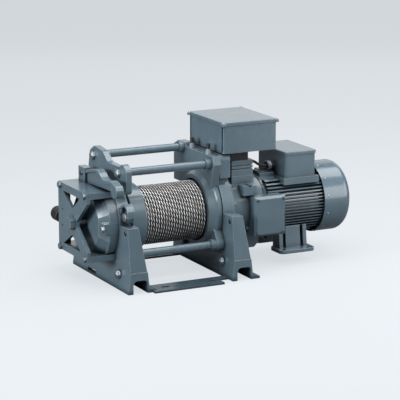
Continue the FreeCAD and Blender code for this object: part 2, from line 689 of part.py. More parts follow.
def tie_rods():
    """Round rods between the castings, with thinner ends inside them, and a nut on one end of each."""
    plate_left = right_face - d.plate_thickness
    ear_face = left_face + d.left_ear_inset
    top_nut, low_nut = ear_face - d.nut_height, right_face + d.web_thickness
    kinds = {"top_tie_rods": (top_rods, left_back, top_nut, right_face - d.joint_gap, top_nut),
             "bottom_tie_rods": (low_rods, left_face + d.web_thickness, left_face + d.rod_blind + d.fit,
                                 low_nut + d.nut_height, low_nut)}
    nuts = []
    for name, (places, seat, left_end, right_end, nut_left) in kinds.items():
        rods = []
        for place in places:
            rods.append(fuse(cylinder("X", place, d.rod_radius, seat, plate_left),
                             cylinder("X", place, d.collar_radius, plate_left - d.collar_length, plate_left),
                             cylinder("X", place, d.spigot_radius, left_end, right_end)))
            blank = hexagon("X", place, d.nut_across, nut_left, nut_left + d.nut_height)
            nuts.append(cut(blank, cylinder("X", place, d.spigot_radius + d.fit, nut_left - CLEAR,
                                            nut_left + d.nut_height + CLEAR)))
        node(name, group(*rods))
    node("tie_rod_nuts", group(*nuts))


def base_strip(name, side):
    """A slotted floor strip, notched round the left foot, with a tongue that meets the right one."""
    body = new_body(name)
    front, back = side * d.strip_front, side * (d.strip_front - d.strip_width)
    tongue = side * (d.strip_front - d.strip_width + d.tongue_width)
    toe = side * (d.foot_depth / 2 + d.fit)
    left_foot = left_x + d.sole_right + d.fit
    right_foot = right_x - d.sole_left
    outline = [(-d.strip_left, front), (d.strip_right, front), (d.strip_right, tongue), (right_foot, tongue),
               (right_foot, back), (left_foot, back), (left_foot, toe), (-d.strip_left, toe)]
    pad(body, sketch(body, "XY", 0, [outline]), d.strip_thickness)
    middle = (front + back) / 2
    run = (d.slot_length - d.slot_width) / 2
    half = d.slot_width / 2
    for place in (-d.slot_pitch / 2, d.slot_pitch / 2):
        slot = [(place - run, middle - half), (place + run, middle - half), (place + run, middle + half),
                (place - run, middle + half)]
        pocket(body, sketch(body, "XY", -CLEAR, [slot]), d.strip_thickness + 2 * CLEAR)
        for end in (place - run, place + run):
            rounded_end = sketch(body, "XY", -CLEAR, circles=[(end, middle, half)])
            pocket(body, rounded_end, d.strip_thickness + 2 * CLEAR)
    node(name, body)


# Drum body


def drum():
    """Hollow barrel with its right end disc, and the open bell with its web and hub on the left end."""
    bore = d.shaft_radius + d.fit
    hub = d.drum_hub_radius
    inner = d.barrel_radius - d.barrel_wall
    end_radius = d.barrel_radius + d.rope_diameter
    profile = [(bell_right, bore), (drum_right, bore), (drum_right, end_radius), (rope_right, end_radius),
               (rope_right, d.barrel_radius), (bell_right, d.barrel_radius), (bell_right, inner),
               (rope_right, inner), (rope_right, hub), (bell_right, hub)]
    node("drum", turned("drum", profile))
    web_left = bell_right - d.bell_web
    bell_inner = d.bell_radius - d.bell_wall
    hub_left = bell_left + d.bell_wall
    cup = [(hub_left, bore), (bell_right, bore), (bell_right, d.bell_radius), (bell_left, d.bell_radius),
           (bell_left, bell_inner), (web_left, bell_inner), (web_left, hub), (hub_left, hub)]
    node("drum_bell", turned("drum_bell", cup, [(2, d.bell_wall / 2), (3, d.bell_wall / 4)]))


def drum_shaft():
    """Stepped shaft: spindle in the cage hub, bearing journal, drum seat, journal and carrier seat."""
    left_seat = left_back - d.bearing_width
    journal_right = right_face + d.journal_reach
    profile = [(cage_left, 0), (cage_left, d.spindle_radius), (left_face, d.spindle_radius),
               (left_face, d.shaft_end_radius), (left_seat, d.shaft_end_radius), (left_seat, d.shaft_radius),
               (right_face - d.bearing_width, d.shaft_radius),
               (journal_right, d.shaft_radius), (journal_right, d.shaft_end_radius),
               (carrier_right, d.shaft_end_radius), (carrier_right, 0)]
    node("drum_shaft", turned("drum_shaft", profile))


def bearings():
    """Drum bearings, each a ring between its seat and the shaft."""
    inner = d.shaft_radius + d.running_fit
    left = ring("left_drum_bearing", left_back - d.bearing_width, left_back, inner, d.bearing_left_outer)
    right = ring("right_drum_bearing", right_face - d.bearing_width, right_face, inner, d.bearing_right_outer)
    node("drum_bearings", group(left, right))


def wire_rope():
    """The wound rope: one rounded rib for each turn, with shallow valleys between turns."""
    radius = d.rope_diameter.number / 2
    inner = d.barrel_radius.number + d.fit.number
    valley = inner + radius * 1.35
    crown = inner + 2 * radius - d.fit.number
    turns = int(round(d.rope_turns.number))
    x = bell_right.number + d.fit.number
    pitch = (rope_right.number - d.fit.number - x) / turns
    edges = []
    last = Vector(x, 0, inner)
    points = [Vector(x, 0, valley)]
    edges.append(Part.LineSegment(last, points[0]).toShape())
    for turn in range(turns):
        start = Vector(x + turn * pitch, 0, valley)
        middle = Vector(x + (turn + 0.5) * pitch, 0, crown)
        end = Vector(x + (turn + 1) * pitch, 0, valley)
        edges.append(Part.Arc(start, middle, end).toShape())
    right = Vector(x + turns * pitch, 0, inner)
    edges.append(Part.LineSegment(Vector(right.x, 0, valley), right).toShape())
    edges.append(Part.LineSegment(right, last).toShape())
    face = Part.Face(Part.Wire(edges))
    item = doc.addObject("Part::Feature", "wire_rope_winding")
    item.Shape = face.revolve(Vector(0, 0, 0), Vector(1, 0, 0), 360)
    bind(item, "Placement.Base.z", d.axis_height)
    node("wire_rope", item)


# Gears


def involute_point(base, radius, half_angle, side):
    """A flank point of a tooth that stands on the angle 0."""
    pressure = math.acos(min(1.0, base / radius))
    angle = half_angle - (math.tan(pressure) - pressure)
    return Vector(0, radius * math.cos(side * angle), radius * math.sin(side * angle))


def gear_profile(teeth, tip, foot, widen, phase):
    """A closed gear outline in the YZ plane, with a tooth on the phase angle."""
    module = d.gear_module.number
    pitch_radius = module * teeth / 2
    pressure = math.radians(25)
    base = pitch_radius * math.cos(pressure)
    half_angle = (math.pi * module / 2 + widen) / (2 * pitch_radius) + math.tan(pressure) - pressure
    start = max(foot, base)
    edges = []
    step = 2 * math.pi / teeth

    def turn(point, angle):
        cosine, sine = math.cos(angle), math.sin(angle)
        return Vector(0, point.y * cosine - point.z * sine, point.y * sine + point.z * cosine)

    def on_circle(radius, angle):
        return Vector(0, radius * math.cos(angle), radius * math.sin(angle))

    for tooth in range(teeth):
        angle = phase + tooth * step
        rise = [turn(involute_point(base, r, half_angle, -1), angle) for r in (start, (start + tip) / 2, tip)]
        fall = [turn(involute_point(base, r, half_angle, 1), angle) for r in (tip, (start + tip) / 2, start)]
        rise_angle = math.atan2(rise[0].z, rise[0].y)
        fall_angle = math.atan2(fall[2].z, fall[2].y)
        if foot < start - 0.001:
            edges.append(Part.LineSegment(on_circle(foot, rise_angle), rise[0]).toShape())
        edges.append(Part.Arc(*rise).toShape())
        edges.append(Part.Arc(rise[2], on_circle(tip, angle), fall[0]).toShape())
        edges.append(Part.Arc(*fall).toShape())
        if foot < start - 0.001:
            edges.append(Part.LineSegment(fall[2], on_circle(foot, fall_angle)).toShape())
        next_rise = turn(rise[0], step)
        next_angle = math.atan2(next_rise.z, next_rise.y)
        edges.append(Part.Arc(on_circle(foot, fall_angle), on_circle(foot, angle + step / 2),
                              on_circle(foot, next_angle)).toShape())
    return Part.Wire(edges)


def gear_radii(teeth, internal=False):
    """Tip and root radii of stub teeth."""
    module = d.gear_module.number
    pitch_radius = module * teeth / 2
    if internal:
        return pitch_radius + module, pitch_radius - 0.8 * module
    return pitch_radius + 0.8 * module, pitch_radius - module


def outer_gear(teeth, phase, left, right):
    """A solid spur gear along X from left to right."""
    tip, foot = gear_radii(teeth)
    wire = gear_profile(teeth, tip, foot, -d.gear_backlash.number / 2, phase)
    wire.translate(Vector(left.number, 0, 0))
    return Part.Face(wire).extrude(Vector(right.number - left.number, 0, 0))


def solid_node(name, shape, y=0, z=0):
    """A sub-part from a shape about the drum axis, moved by (y, z) across it."""
    item = doc.addObject("Part::Feature", f"{name}_solid")
    item.Shape = shape
    bind(item, "Placement.Base.y", y)
    bind(item, "Placement.Base.z", d.axis_height + z)
    return node(name, item)


def bore_shape(radius, left, right):
    return Part.makeCylinder(radius, right - left, Vector(left, 0, 0), Vector(1, 0, 0))


PLANET_ANGLES = [math.radians(90 + 120 * place) for place in range(3)]


def ring_gear():
    """One long internal gear that both stages share."""
    teeth = int(round(d.ring_teeth.number))
    root_radius, tip_radius = gear_radii(teeth, internal=True)
    outer = d.housing_bore.number - d.fit.number
    left, right = output_left.number - CLEAR, input_right.number + CLEAR
    phase = PLANET_ANGLES[0] + math.pi / teeth
    wire = gear_profile(teeth, root_radius, tip_radius, d.gear_backlash.number / 2, phase)
    wire.translate(Vector(left, 0, 0))
    space = Part.Face(wire).extrude(Vector(right - left, 0, 0))
    solid_node("ring_gear", bore_shape(outer, left, right).cut(space))


def planets(prefix, left, right):
    """Three planet gears on their pins, each with a space towards the sun and towards the ring."""
    teeth = int(round(d.planet_teeth.number))
    bore = bore_shape(d.pin_radius.number + d.running_fit.number, left.number - CLEAR, right.number + CLEAR)
    for place, angle in enumerate(PLANET_ANGLES, start=1):
        gear = outer_gear(teeth, angle + math.pi / teeth, left, right).cut(bore)
        solid_node(f"{prefix}_planet_{place}", gear, centre_distance * math.cos(angle),
                   centre_distance * math.sin(angle))


def carrier_pins(left, right):
    """Pins of one carrier as one shape."""
    pins = []
    for angle in PLANET_ANGLES:
        pin = bore_shape(d.pin_radius.number, left.number, right.number)
        reach = centre_distance.number
        pin.translate(Vector(0, reach * math.cos(angle), reach * math.sin(angle)))
        pins.append(pin)
    return pins


def output_carrier():
    """Drum-side carrier: a disc on the shaft's end with its three pins."""
    disc = bore_shape(d.carrier_radius.number, carrier_left.number, carrier_right.number)
    disc = disc.cut(bore_shape(d.shaft_end_radius.number + d.fit.number, carrier_left.number - CLEAR,
                               carrier_right.number + CLEAR))
    shape = disc.fuse(carrier_pins(carrier_left, output_right)).removeSplitter()
    solid_node("output_carrier", shape)


def input_carrier():
    """Motor-side carrier with its pins and the sun of the output stage in one piece."""
    teeth = int(round(d.sun_teeth.number))
    disc = bore_shape(d.carrier_radius.number, input_carrier_left.number, input_carrier_right.number)
    sun = outer_gear(teeth, PLANET_ANGLES[0], carrier_right + d.carrier_gap, input_carrier_left)
    shape = disc.fuse(carrier_pins(input_carrier_left, input_right) + [sun]).removeSplitter()
    solid_node("input_carrier", shape)


def motor_shaft():
    """Motor shaft with its pinion cut on the end."""
    teeth = int(round(d.sun_teeth.number))
    journal = motor_left - d.motor_bearing_width / 2
    steps = [(input_right, journal, d.pinion_shaft), (journal, stator_left, d.motor_journal),
             (stator_left, stator_right, d.rotor_shaft_radius),
             (stator_right, fan_left + d.fan_width, d.motor_journal)]
    shapes = [bore_shape(radius.number, left.number, right.number) for left, right, radius in steps]
    pinion = outer_gear(teeth, PLANET_ANGLES[0], input_left, input_right)
    solid_node("motor_shaft", pinion.fuse(shapes).removeSplitter())


# Gear housing and what stands on it


def gear_housing():
    """Cylindrical housing with its bolting flange, end wall, oil sump and the seats for the boxes."""
    flange_right = right_back + d.housing_flange
    flange = d.housing_radius + d.housing_flange_reach
    bore = d.housing_bore
    profile = [(right_back, d.output_bore), (right_back, flange), (flange_right, flange),
               (flange_right, d.housing_radius), (housing_right, d.housing_radius), (housing_right, bore),
               (flange_right, bore),
               (flange_right, d.output_bore)]
    shell = turned("gear_housing", profile)
    sump = new_body("sump")
    sump_bottom = d.axis_height - d.sump_drop
    outline = [(sump_left, d.axis_height), (sump_left, sump_bottom),
               (housing_right - d.sump_slope, sump_bottom),
               (housing_right, sump_bottom + d.sump_slope), (housing_right, d.axis_height)]
    pad(sump, sketch(sump, "XZ", d.sump_half_width, [outline]), 2 * d.sump_half_width)
    seat = box((support_left, support_right), (-d.support_half_width, d.support_half_width),
               (d.axis_height, support_seat))
    inside = cylinder("X", (0, d.axis_height), bore, flange_right, housing_right + CLEAR)
    right_cut = cylinder("X", (0, d.axis_height), d.output_bore, right_back - CLEAR, flange_right + CLEAR)
    node("gear_housing", cut(fuse(shell, sump, seat), inside, right_cut))


def box_support():
    """Ribbed block between the gear housing and the control box, with the dark pad on top."""
    half = d.support_half_width
    groove = d.support_groove
    body = box((support_left, support_right), (-half, half), (support_seat, support_top))
    rings = []
    for step in (1, 2):
        low = support_top - step * (d.support_rib + groove) - d.support_rib
        outer = box((support_left - CLEAR, support_right + CLEAR), (-half - CLEAR, half + CLEAR),
                    (low, low + groove))
        core = box((support_left + groove, support_right - groove), (groove - half, half - groove),
                   (low - CLEAR, low + groove + CLEAR))
        rings.append(cut(outer, core))
    node("box_support", cut(body, *rings))
    wide = d.pad_half_width
    block = box((pad_left, pad_right), (-wide, wide), (support_top, control_bottom))
    node("support_pad", rounded(block, d.box_round, upright))


def box_studs():
    """Two pale cones with dark tips beside the control box, on top of the shield's plate."""
    cones, caps = [], []
    for side in (-1, 1):
        at = (stud_x, side * d.stud_y)
        top = stud_seat + d.stud_height
        cones.append(cone("Z", at, d.stud_radius, d.stud_tip, stud_seat, top))
        caps.append(cylinder("Z", at, d.stud_tip, top, top + d.stud_cap))
    node("stud_cones", group(*cones))
    node("stud_caps", group(*caps))


def open_box(x, y, z, wall, radius):
    """A box that is open at the top, with rounded upright edges."""
    block = rounded(box(x, y, z), radius, upright)
    inner = box((x[0] + wall, x[1] - wall), (y[0] + wall, y[1] - wall), (z[0] + wall, z[1] + CLEAR))
    return cut(block, inner)


def box_lid(x, y, z, reach, radius, edge_radius):
    """A lid that stands out from its box all round, with rounded upright and top edges."""
    block = rounded(box((x[0] - reach, x[1] + reach), (y[0] - reach, y[1] + reach), z), radius, upright)
    top = z[1].number

    def top_edge(edge):
        return all(near(vertex.Point.z, top) for vertex in edge.Vertexes)

    return rounded(block, edge_radius, top_edge)


def control_box():
    """The control box with its lid and the switchgear on a plate inside."""
    x = (control_left + d.lid_reach, control_right - d.lid_reach)
    y = (d.control_front + d.lid_reach, d.control_back - d.lid_reach)
    seam = control_top - d.control_lid
    shell = open_box(x, y, (control_bottom, seam), d.control_wall + d.groove_depth, d.box_round)
    grooves = []
    for left in (x[0] - CLEAR, x[1] - d.groove_depth):
        for front in (y[0] + d.groove_inset, y[1] - d.groove_inset - d.corner_groove):
            grooves.append(box((left, left + d.groove_depth + CLEAR), (front, front + d.corner_groove),
                               (control_bottom - CLEAR, seam + CLEAR)))
    node("control_box", cut(shell, *grooves))
    lid = box_lid(x, y, (seam, control_top), d.lid_reach, d.box_round, d.lid_round)
    corners = [(across, deep) for across in (x[0] + d.lid_reach, x[1] - d.lid_reach)
               for deep in (y[0] + d.lid_reach, y[1] - d.lid_reach)]
    ears = [cylinder("Z", at, d.lid_ear, seam, control_top - d.lid_round) for at in corners]
    node("control_box_lid", fuse(lid, *ears))
    floor = control_bottom + d.control_wall + d.groove_depth
    margin = d.gear_plate_margin
    plate = box((x[0] + margin, x[1] - margin), (y[0] + margin, y[1] - margin), (floor, floor + d.gear_plate))
    middle = (x[0] + x[1]) / 2
    relays = [plate]
    for step in (-1, 1):
        left = middle + step * d.contactor_width * 0.7 - d.contactor_width / 2
        relays.append(box((left, left + d.contactor_width), (-d.contactor_width, d.contactor_width),
                          (floor + d.gear_plate, floor + d.gear_plate + d.contactor_height)))
    node("control_gear", fuse(*relays))


def brake_box():
    """The box on the front of the gear housing, saddle-cut to it, with a sloped lid."""
    x = (brake_box_left + d.lid_reach, brake_box_right - d.lid_reach)
    z = (brake_box_bottom + d.lid_reach, brake_box_top - d.lid_reach)
    wall = d.brake_box_wall
    at = (0, d.axis_height)
    block = box(x, (brake_box_seam, brake_box_back), z)
    hollow = box((x[0] + wall, x[1] - wall), (brake_box_seam - CLEAR, brake_box_back - wall),
                 (z[0] + wall, z[1] - wall))
    seat = cylinder("X", at, d.housing_radius + d.fit, brake_box_left - CLEAR, motor_left)
    motor_seat = cylinder("X", at, d.fin_radius + CLEAR, housing_right, brake_box_right + CLEAR)
    node("brake_box", cut(block, hollow, seat, motor_seat))
    lid = new_body("brake_box_lid")
    outer = [(brake_box_left, brake_box_bottom), (brake_box_right, brake_box_bottom),
             (brake_box_right, brake_box_top), (brake_box_left, brake_box_top)]
    pad(lid, sketch(lid, "XZ", brake_box_seam, [outer]), brake_box_seam - brake_box_face)
    face_y = brake_box_face.number
    dress_edges(lid, "PartDesign::Chamfer", "Size", d.brake_lid_slope,
                lambda edge: all(near(vertex.Point.y, face_y) for vertex in edge.Vertexes))
    node("brake_box_lid", lid)


def junction_block():
    """Small block with two raised pads above the brake box."""
    x = (junction_left, junction_right)
    y = (-d.housing_radius - d.junction_reach, d.junction_sink - d.housing_radius)
    bottom = d.axis_height + d.junction_up
    top = bottom + d.junction_height
    block = box(x, y, (bottom, top))
    share = (junction_right - junction_left) / 5
    pads = []
    for step in (0, 3):
        left = junction_left + step * share
        pads.append(box((left, left + 2 * share), y, (top, top + d.junction_pad)))
    seat = cylinder("X", (0, d.axis_height), d.housing_radius + d.fit, junction_left - CLEAR,
                    junction_right + CLEAR)
    node("junction_block", cut(fuse(block, *pads), seat))


# Motor


def motor_frame():
    """Frame with level side fins, upright crown fins and a flat seat for the terminal box."""
    tube = ring("frame_tube", motor_left, frame_right, d.frame_bore, d.frame_radius)
    along = (motor_left + d.frame_end, frame_right)
    envelope = cylinder("X", (0, d.axis_height), d.fin_radius, along[0], along[1])
    across = (-d.fin_radius, d.fin_radius)
    tall = (d.axis_height - d.fin_radius, d.axis_height + d.fin_radius)
    fins = []
    half = d.fin_thickness / 2
    rows = int(round(d.fin_rows.number))
    for step in range(-rows, rows + 1):
        level = d.axis_height + step * d.fin_pitch
        fins.append(box(along, across, (level - half, level + half)))
    columns = int(d.crown_fin_span.number / d.fin_pitch.number)
    for step in range(-columns, columns + 1):
        middle = step * d.fin_pitch
        fins.append(box(along, (middle - half, middle + half), tall))
    finned = common(fuse(*fins), envelope)
    bore = cylinder("X", (0, d.axis_height), d.frame_bore, motor_left - CLEAR, frame_right + CLEAR)
    side = d.terminal_half_width + d.seat_reach
    seat_span = (terminal_left - d.seat_reach, terminal_right + d.seat_reach)
    seat_cut = box(seat_span, (-side, side), (terminal_bottom, tall[1] + CLEAR))
    seat = box(seat_span, (-side, side), (terminal_bottom - d.terminal_seat, terminal_bottom))
    node("motor_frame", cut(fuse(cut(fuse(tube, finned), seat_cut), seat), bore))


def motor_foot():
    """Two cast feet under the motor, each a rounded pad with a broad block and two thin ribs."""
    low = d.motor_foot_bottom
    pad_top = low + d.motor_foot_pad
    block_top = d.axis_height - d.frame_radius / 2
    block_left = motor_foot_left + d.foot_block_start
    rib_left = motor_foot_left + d.foot_rib_inset
    rib_right = motor_foot_right - d.foot_rib_inset
    spans = [(block_left, block_left + d.foot_block_length), (rib_left, rib_left + d.foot_rib),
             (rib_right - d.foot_rib, rib_right)]
    pieces, holes = [], []
    for side in (-1, 1):
        inner, outer = side * d.motor_foot_inner, side * d.motor_foot_outer
        ends = (outer, inner) if side < 0 else (inner, outer)
        plate = box((motor_foot_left, motor_foot_right), ends, (low, pad_top))
        pieces.append(rounded(plate, d.motor_foot_round, upright))
        root_y = side * (d.motor_foot_outer - d.motor_foot_margin)
        outline = [(inner, pad_top - CLEAR), (root_y, pad_top - CLEAR), (side * d.motor_foot_top, block_top),
                   (inner, block_top)]
        for left, right in spans:
            body = new_body("foot_block")
            pad(body, sketch(body, "YZ", left, [outline]), right - left)
            pieces.append(body)
        for x_side in (-1, 1):
            middle = (motor_foot_left + motor_foot_right) / 2
            at = (middle + x_side * d.motor_bolt_x / 2, side * d.motor_bolt_y / 2)
            holes.append(cylinder("Z", at, d.motor_bolt_radius, low - CLEAR, pad_top + CLEAR))
    seat = cylinder("X", (0, d.axis_height), d.fin_radius + d.fit, motor_foot_left - CLEAR,
                    motor_foot_right + CLEAR)
    node("motor_foot", cut(fuse(*pieces), seat, *holes))


def motor_shields():
    """Front shield between gear housing and frame, and the rear shield with four lugs that carry the cowl."""
    seat = d.motor_bearing_outer + d.fit
    shaft_hole = d.pinion_shaft + CLEAR
    front_bearing = motor_left - d.motor_bearing_width / 2
    collar = d.front_shield_radius
    front = [(housing_right, shaft_hole), (housing_right, collar), (motor_left, collar), (motor_left, seat),
             (front_bearing, seat), (front_bearing, shaft_hole)]
    node("motor_front_shield", turned("motor_front_shield", front))
    rim = d.cowl_radius - d.cowl_wall - d.fit
    hub = d.rear_shield_radius
    rear = [(frame_right, seat), (frame_right, hub), (rear_shield_right, hub), (rear_shield_right, seat)]
    plate = turned("motor_rear_shield", rear)
    half = d.cowl_lug / 2
    at = (0, d.axis_height)
    along = (frame_right, rear_shield_right)
    level = box(along, (-rim, rim), (d.axis_height - half, d.axis_height + half))
    post = box(along, (-half, half), (d.axis_height - rim, d.axis_height + rim))
    lugs = common(fuse(level, post), cylinder("X", at, rim, frame_right, rear_shield_right))
    bore = cylinder("X", at, seat, frame_right - CLEAR, rear_shield_right + CLEAR)
    node("motor_rear_shield", cut(fuse(plate, lugs), bore))
    inner = d.motor_journal + d.running_fit
    rings = [ring("front_motor_bearing", front_bearing, front_bearing + d.motor_bearing_width, inner,
                  d.motor_bearing_outer),
             ring("rear_motor_bearing", rear_shield_right - d.motor_bearing_width, rear_shield_right, inner,
                  d.motor_bearing_outer)]
    node("motor_bearings", group(*rings))


def motor_inside():
    """Stator and rotor cores."""
    node("stator_core", ring("stator_core", stator_left, stator_right, d.stator_inner,
                             d.frame_bore - d.fit))
    node("rotor_core", ring("rotor_core", stator_left, stator_right, d.rotor_shaft_radius + d.fit,
                            d.stator_inner - d.air_gap))


def brake():
    """Spring-set brake: friction disc on the shaft, armature plate and magnet on three sleeves."""
    bore = d.motor_journal + d.fit
    node("friction_disc", ring("friction_disc", brake_disc_left, brake_disc_left + d.brake_disc, bore,
                               d.brake_radius))
    node("armature_plate", ring("armature_plate", armature_left, armature_left + d.armature_thickness,
                                d.motor_journal + CLEAR, d.brake_radius))
    body = ring("brake_magnet", magnet_left, magnet_right, d.motor_journal + CLEAR, d.magnet_radius)
    sleeve = pad(body, sketch(body, "YZ", rear_shield_right, circles=[(0, d.sleeve_circle, d.sleeve_radius)]),
                 magnet_left - rear_shield_right + CLEAR)
    pattern(body, [sleeve], 3)
    node("brake_magnet", body)


def fan():
    """Cooling fan: hub, disc and straight blades."""
    bore = d.motor_journal + d.fit
    right = fan_left + d.fan_width
    profile = [(fan_left, bore), (right, bore), (right, d.fan_hub), (fan_left + d.fan_disc, d.fan_hub),
               (fan_left + d.fan_disc, d.fan_radius), (fan_left, d.fan_radius)]
    body = turned("fan", profile)
    half = d.fan_blade / 2
    blade = [(-half, d.fan_hub - CLEAR), (half, d.fan_hub - CLEAR), (half, d.fan_radius - CLEAR),
             (-half, d.fan_radius - CLEAR)]
    first = pad(body, sketch(body, "YZ", fan_left, [blade]), d.fan_width)
    pattern(body, [first], d.fan_blades)
    node("fan", body)


def fan_cowl():
    """Thin round-ended cowl with radial grille slots in its end."""
    inner = d.cowl_radius - d.cowl_wall
    left, right = cowl_left, cowl_right
    profile = [(left, inner), (left, d.cowl_radius), (right, d.cowl_radius), (right, 0),
               (right - d.cowl_wall, 0), (right - d.cowl_wall, inner)]
    body = turned("fan_cowl", profile, [(2, d.cowl_round), (5, d.cowl_round - d.cowl_wall)])
    half = d.grille_slot / 2
    slot = [(-half, d.grille_inner), (half, d.grille_inner), (half, d.grille_outer), (-half, d.grille_outer)]
    first = pocket(body, sketch(body, "YZ", right - d.cowl_wall - CLEAR, [slot]), d.cowl_wall + 2 * CLEAR)
    pattern(body, [first], d.grille_count)
    node("fan_cowl", body)


def terminal_box():
    """Motor terminal box with its lid, terminal board, cable gland and the cable to the control box."""
    x = (terminal_left + d.lid_reach, terminal_right - d.lid_reach)
    y = (-d.terminal_half_width + d.lid_reach, d.terminal_half_width - d.lid_reach)
    seam = terminal_top - d.terminal_lid
    shell = open_box(x, y, (terminal_bottom, seam), d.terminal_wall, d.box_round)
    at = (d.gland_y, gland_z)
    entry = cylinder("X", at, d.cable_radius * 2, x[0] - CLEAR, x[0] + d.terminal_wall + CLEAR)
    node("terminal_box", cut(shell, entry))
    node("terminal_box_lid", box_lid(x, y, (seam, terminal_top), d.lid_reach, d.box_round, d.lid_round))
    floor = terminal_bottom + d.terminal_wall
    half = d.terminal_half_width / 2
    margin = d.terminal_lid
    node("terminal_board", box((x[0] + margin, x[1] - margin), (-half, half), (floor, floor + margin)))
    tip = x[0] - d.gland_length
    body = fuse(cylinder("X", at, d.gland_radius, x[0] - d.gland_length / 2, x[0]),
                cylinder("X", at, d.gland_radius * 0.8, tip, x[0]),
                cylinder("X", at, d.cable_radius * 2 - d.fit, x[0], x[0] + d.terminal_wall + CLEAR))
    node("cable_gland", cut(body, cylinder("X", at, d.cable_radius + d.fit, tip - CLEAR,
                                           x[0] + d.terminal_wall + 2 * CLEAR)))
    motor_cable(x[0], support_right)


def motor_cable(box_wall, start):
    """Short lead from the support's side into the gland: straight ends and two tangent arcs."""
    y, z = d.gland_y.number, gland_z.number
    rise = d.cable_rise.number
    left, right = start.number, box_wall.number - d.gland_length.number
    run = (right - left) / 2
    bend = (run * run + rise * rise / 4) / rise
    middle = Vector((left + right) / 2, y, z + rise / 2)

    def arc_to(point, sign):
        reach = (point - middle)
        half = Vector(middle.x + reach.x / 2, y, middle.z + reach.z / 2)
        chord = reach.Length
        sagitta = bend - math.sqrt(max(bend * bend - chord * chord / 4, 0))
        across = Vector(-reach.z, 0, reach.x).normalize()
        return half + across * (sign * sagitta)

    low_end, high_end = Vector(right, y, z), Vector(left, y, z + rise)
    far = Vector(box_wall.number + d.terminal_wall.number, y, z)
    edges = [Part.Arc(high_end, arc_to(high_end, -1), middle).toShape(),
             Part.Arc(middle, arc_to(low_end, -1), low_end).toShape(),
             Part.LineSegment(low_end, far).toShape()]
    path = Part.Wire(edges)
    section = Part.Wire(Part.Circle(high_end, Vector(1, 0, 0), d.cable_radius.number).toShape())
    item = doc.addObject("Part::Feature", "motor_cable_tube")
    item.Shape = path.makePipeShell([section], True, True)
    node("motor_cable", item)


# Cage, bearing cover and limit switch on the left end


cage_bolt_places = [(y, z) for y in (d.cage_bolt_inset - d.cage_front, d.cage_rear - d.cage_bolt_inset)
                    for z in (cage_bottom + d.cage_plate / 2, cage_top - d.cage_plate / 2)]


def cage():
    """Cross-shaped end plate with a rear return, and the two plates that tie it to the pedestal."""
    front, rear, up, down = -d.cage_front, d.cage_rear, d.cage_up, d.cage_down
    body = new_body("cage_end_plate", on_axis=True)
    arm = d.cage_arm
    through = d.end_plate + 2 * CLEAR
    plate = [(front, -down), (rear, -down), (rear, up), (front, up), (front, up - 2 * arm),
             (-d.hub_radius * 0.6, 0), (front, 2 * arm - down)]
    pad(body, sketch(body, "YZ", cage_left, [plate]), d.end_plate)
    pad(body, sketch(body, "YZ", cage_left, circles=[(0, 0, d.hub_radius)]), d.end_plate)
    top = d.cage_window_top
    for low, high in ((-d.hub_radius - arm, top - down), (d.hub_radius + arm, up - top)):
        window = [(arm * 0.6, low), (rear * 0.68, high), (front * 0.5, high)]
        pocket(body, sketch(body, "YZ", cage_left - CLEAR, [window]), through)
    floor, roof = d.cage_plate - down, up - d.cage_plate
    inside = rear - d.cage_return_wall
    wall = [(inside, floor), (rear, floor), (rear, roof), (inside, roof)]
    pad(body, sketch(body, "YZ", cage_inner - CLEAR, [wall]), d.cage_return - d.end_plate + CLEAR)
    holes = [(0, 0, d.spindle_radius + d.running_fit)]
    holes += [(y, z - d.axis_height, d.bolt_radius + d.rod_clearance) for y, z in cage_bolt_places]
    holes += [(d.sight_hole_y, level, d.sight_hole) for level in (-d.sight_hole_down, d.sight_hole_down)]
    pocket(body, sketch(body, "YZ", cage_left - CLEAR, circles=holes), through)
    knob_hole = (knob_x, -d.knob_drop, d.knob_spindle + d.running_fit)
    pocket(body, sketch(body, "XZ", rear + CLEAR, circles=[knob_hole]), d.cage_return_wall + 2 * CLEAR)
    node("cage_end_plate", body)
    plates = []
    for low in (cage_bottom, cage_top - d.cage_plate):
        level = low + d.cage_plate / 2
        block = box((cage_inner, left_face), (front, rear), (low, low + d.cage_plate))
        drills = [cylinder("X", (y, level), d.bolt_radius + d.rod_clearance, cage_inner - CLEAR,
                           cage_inner + d.bolt_grip)
                  for y in (front + d.cage_bolt_inset, rear - d.cage_bolt_inset)]
        plates.append(cut(block, *drills))
    node("cage_plates", group(*plates))
    cap = hexagon("X", (0, d.axis_height), d.hub_cap_across, cage_left - d.hub_cap_height, cage_left)
    node("hub_cap", cap)


def cover_lug_level(side):
    """Height of a cover lug: the front one on the axis, the rear one below the knob."""
    return d.axis_height - d.rear_lug_drop if side > 0 else d.axis_height


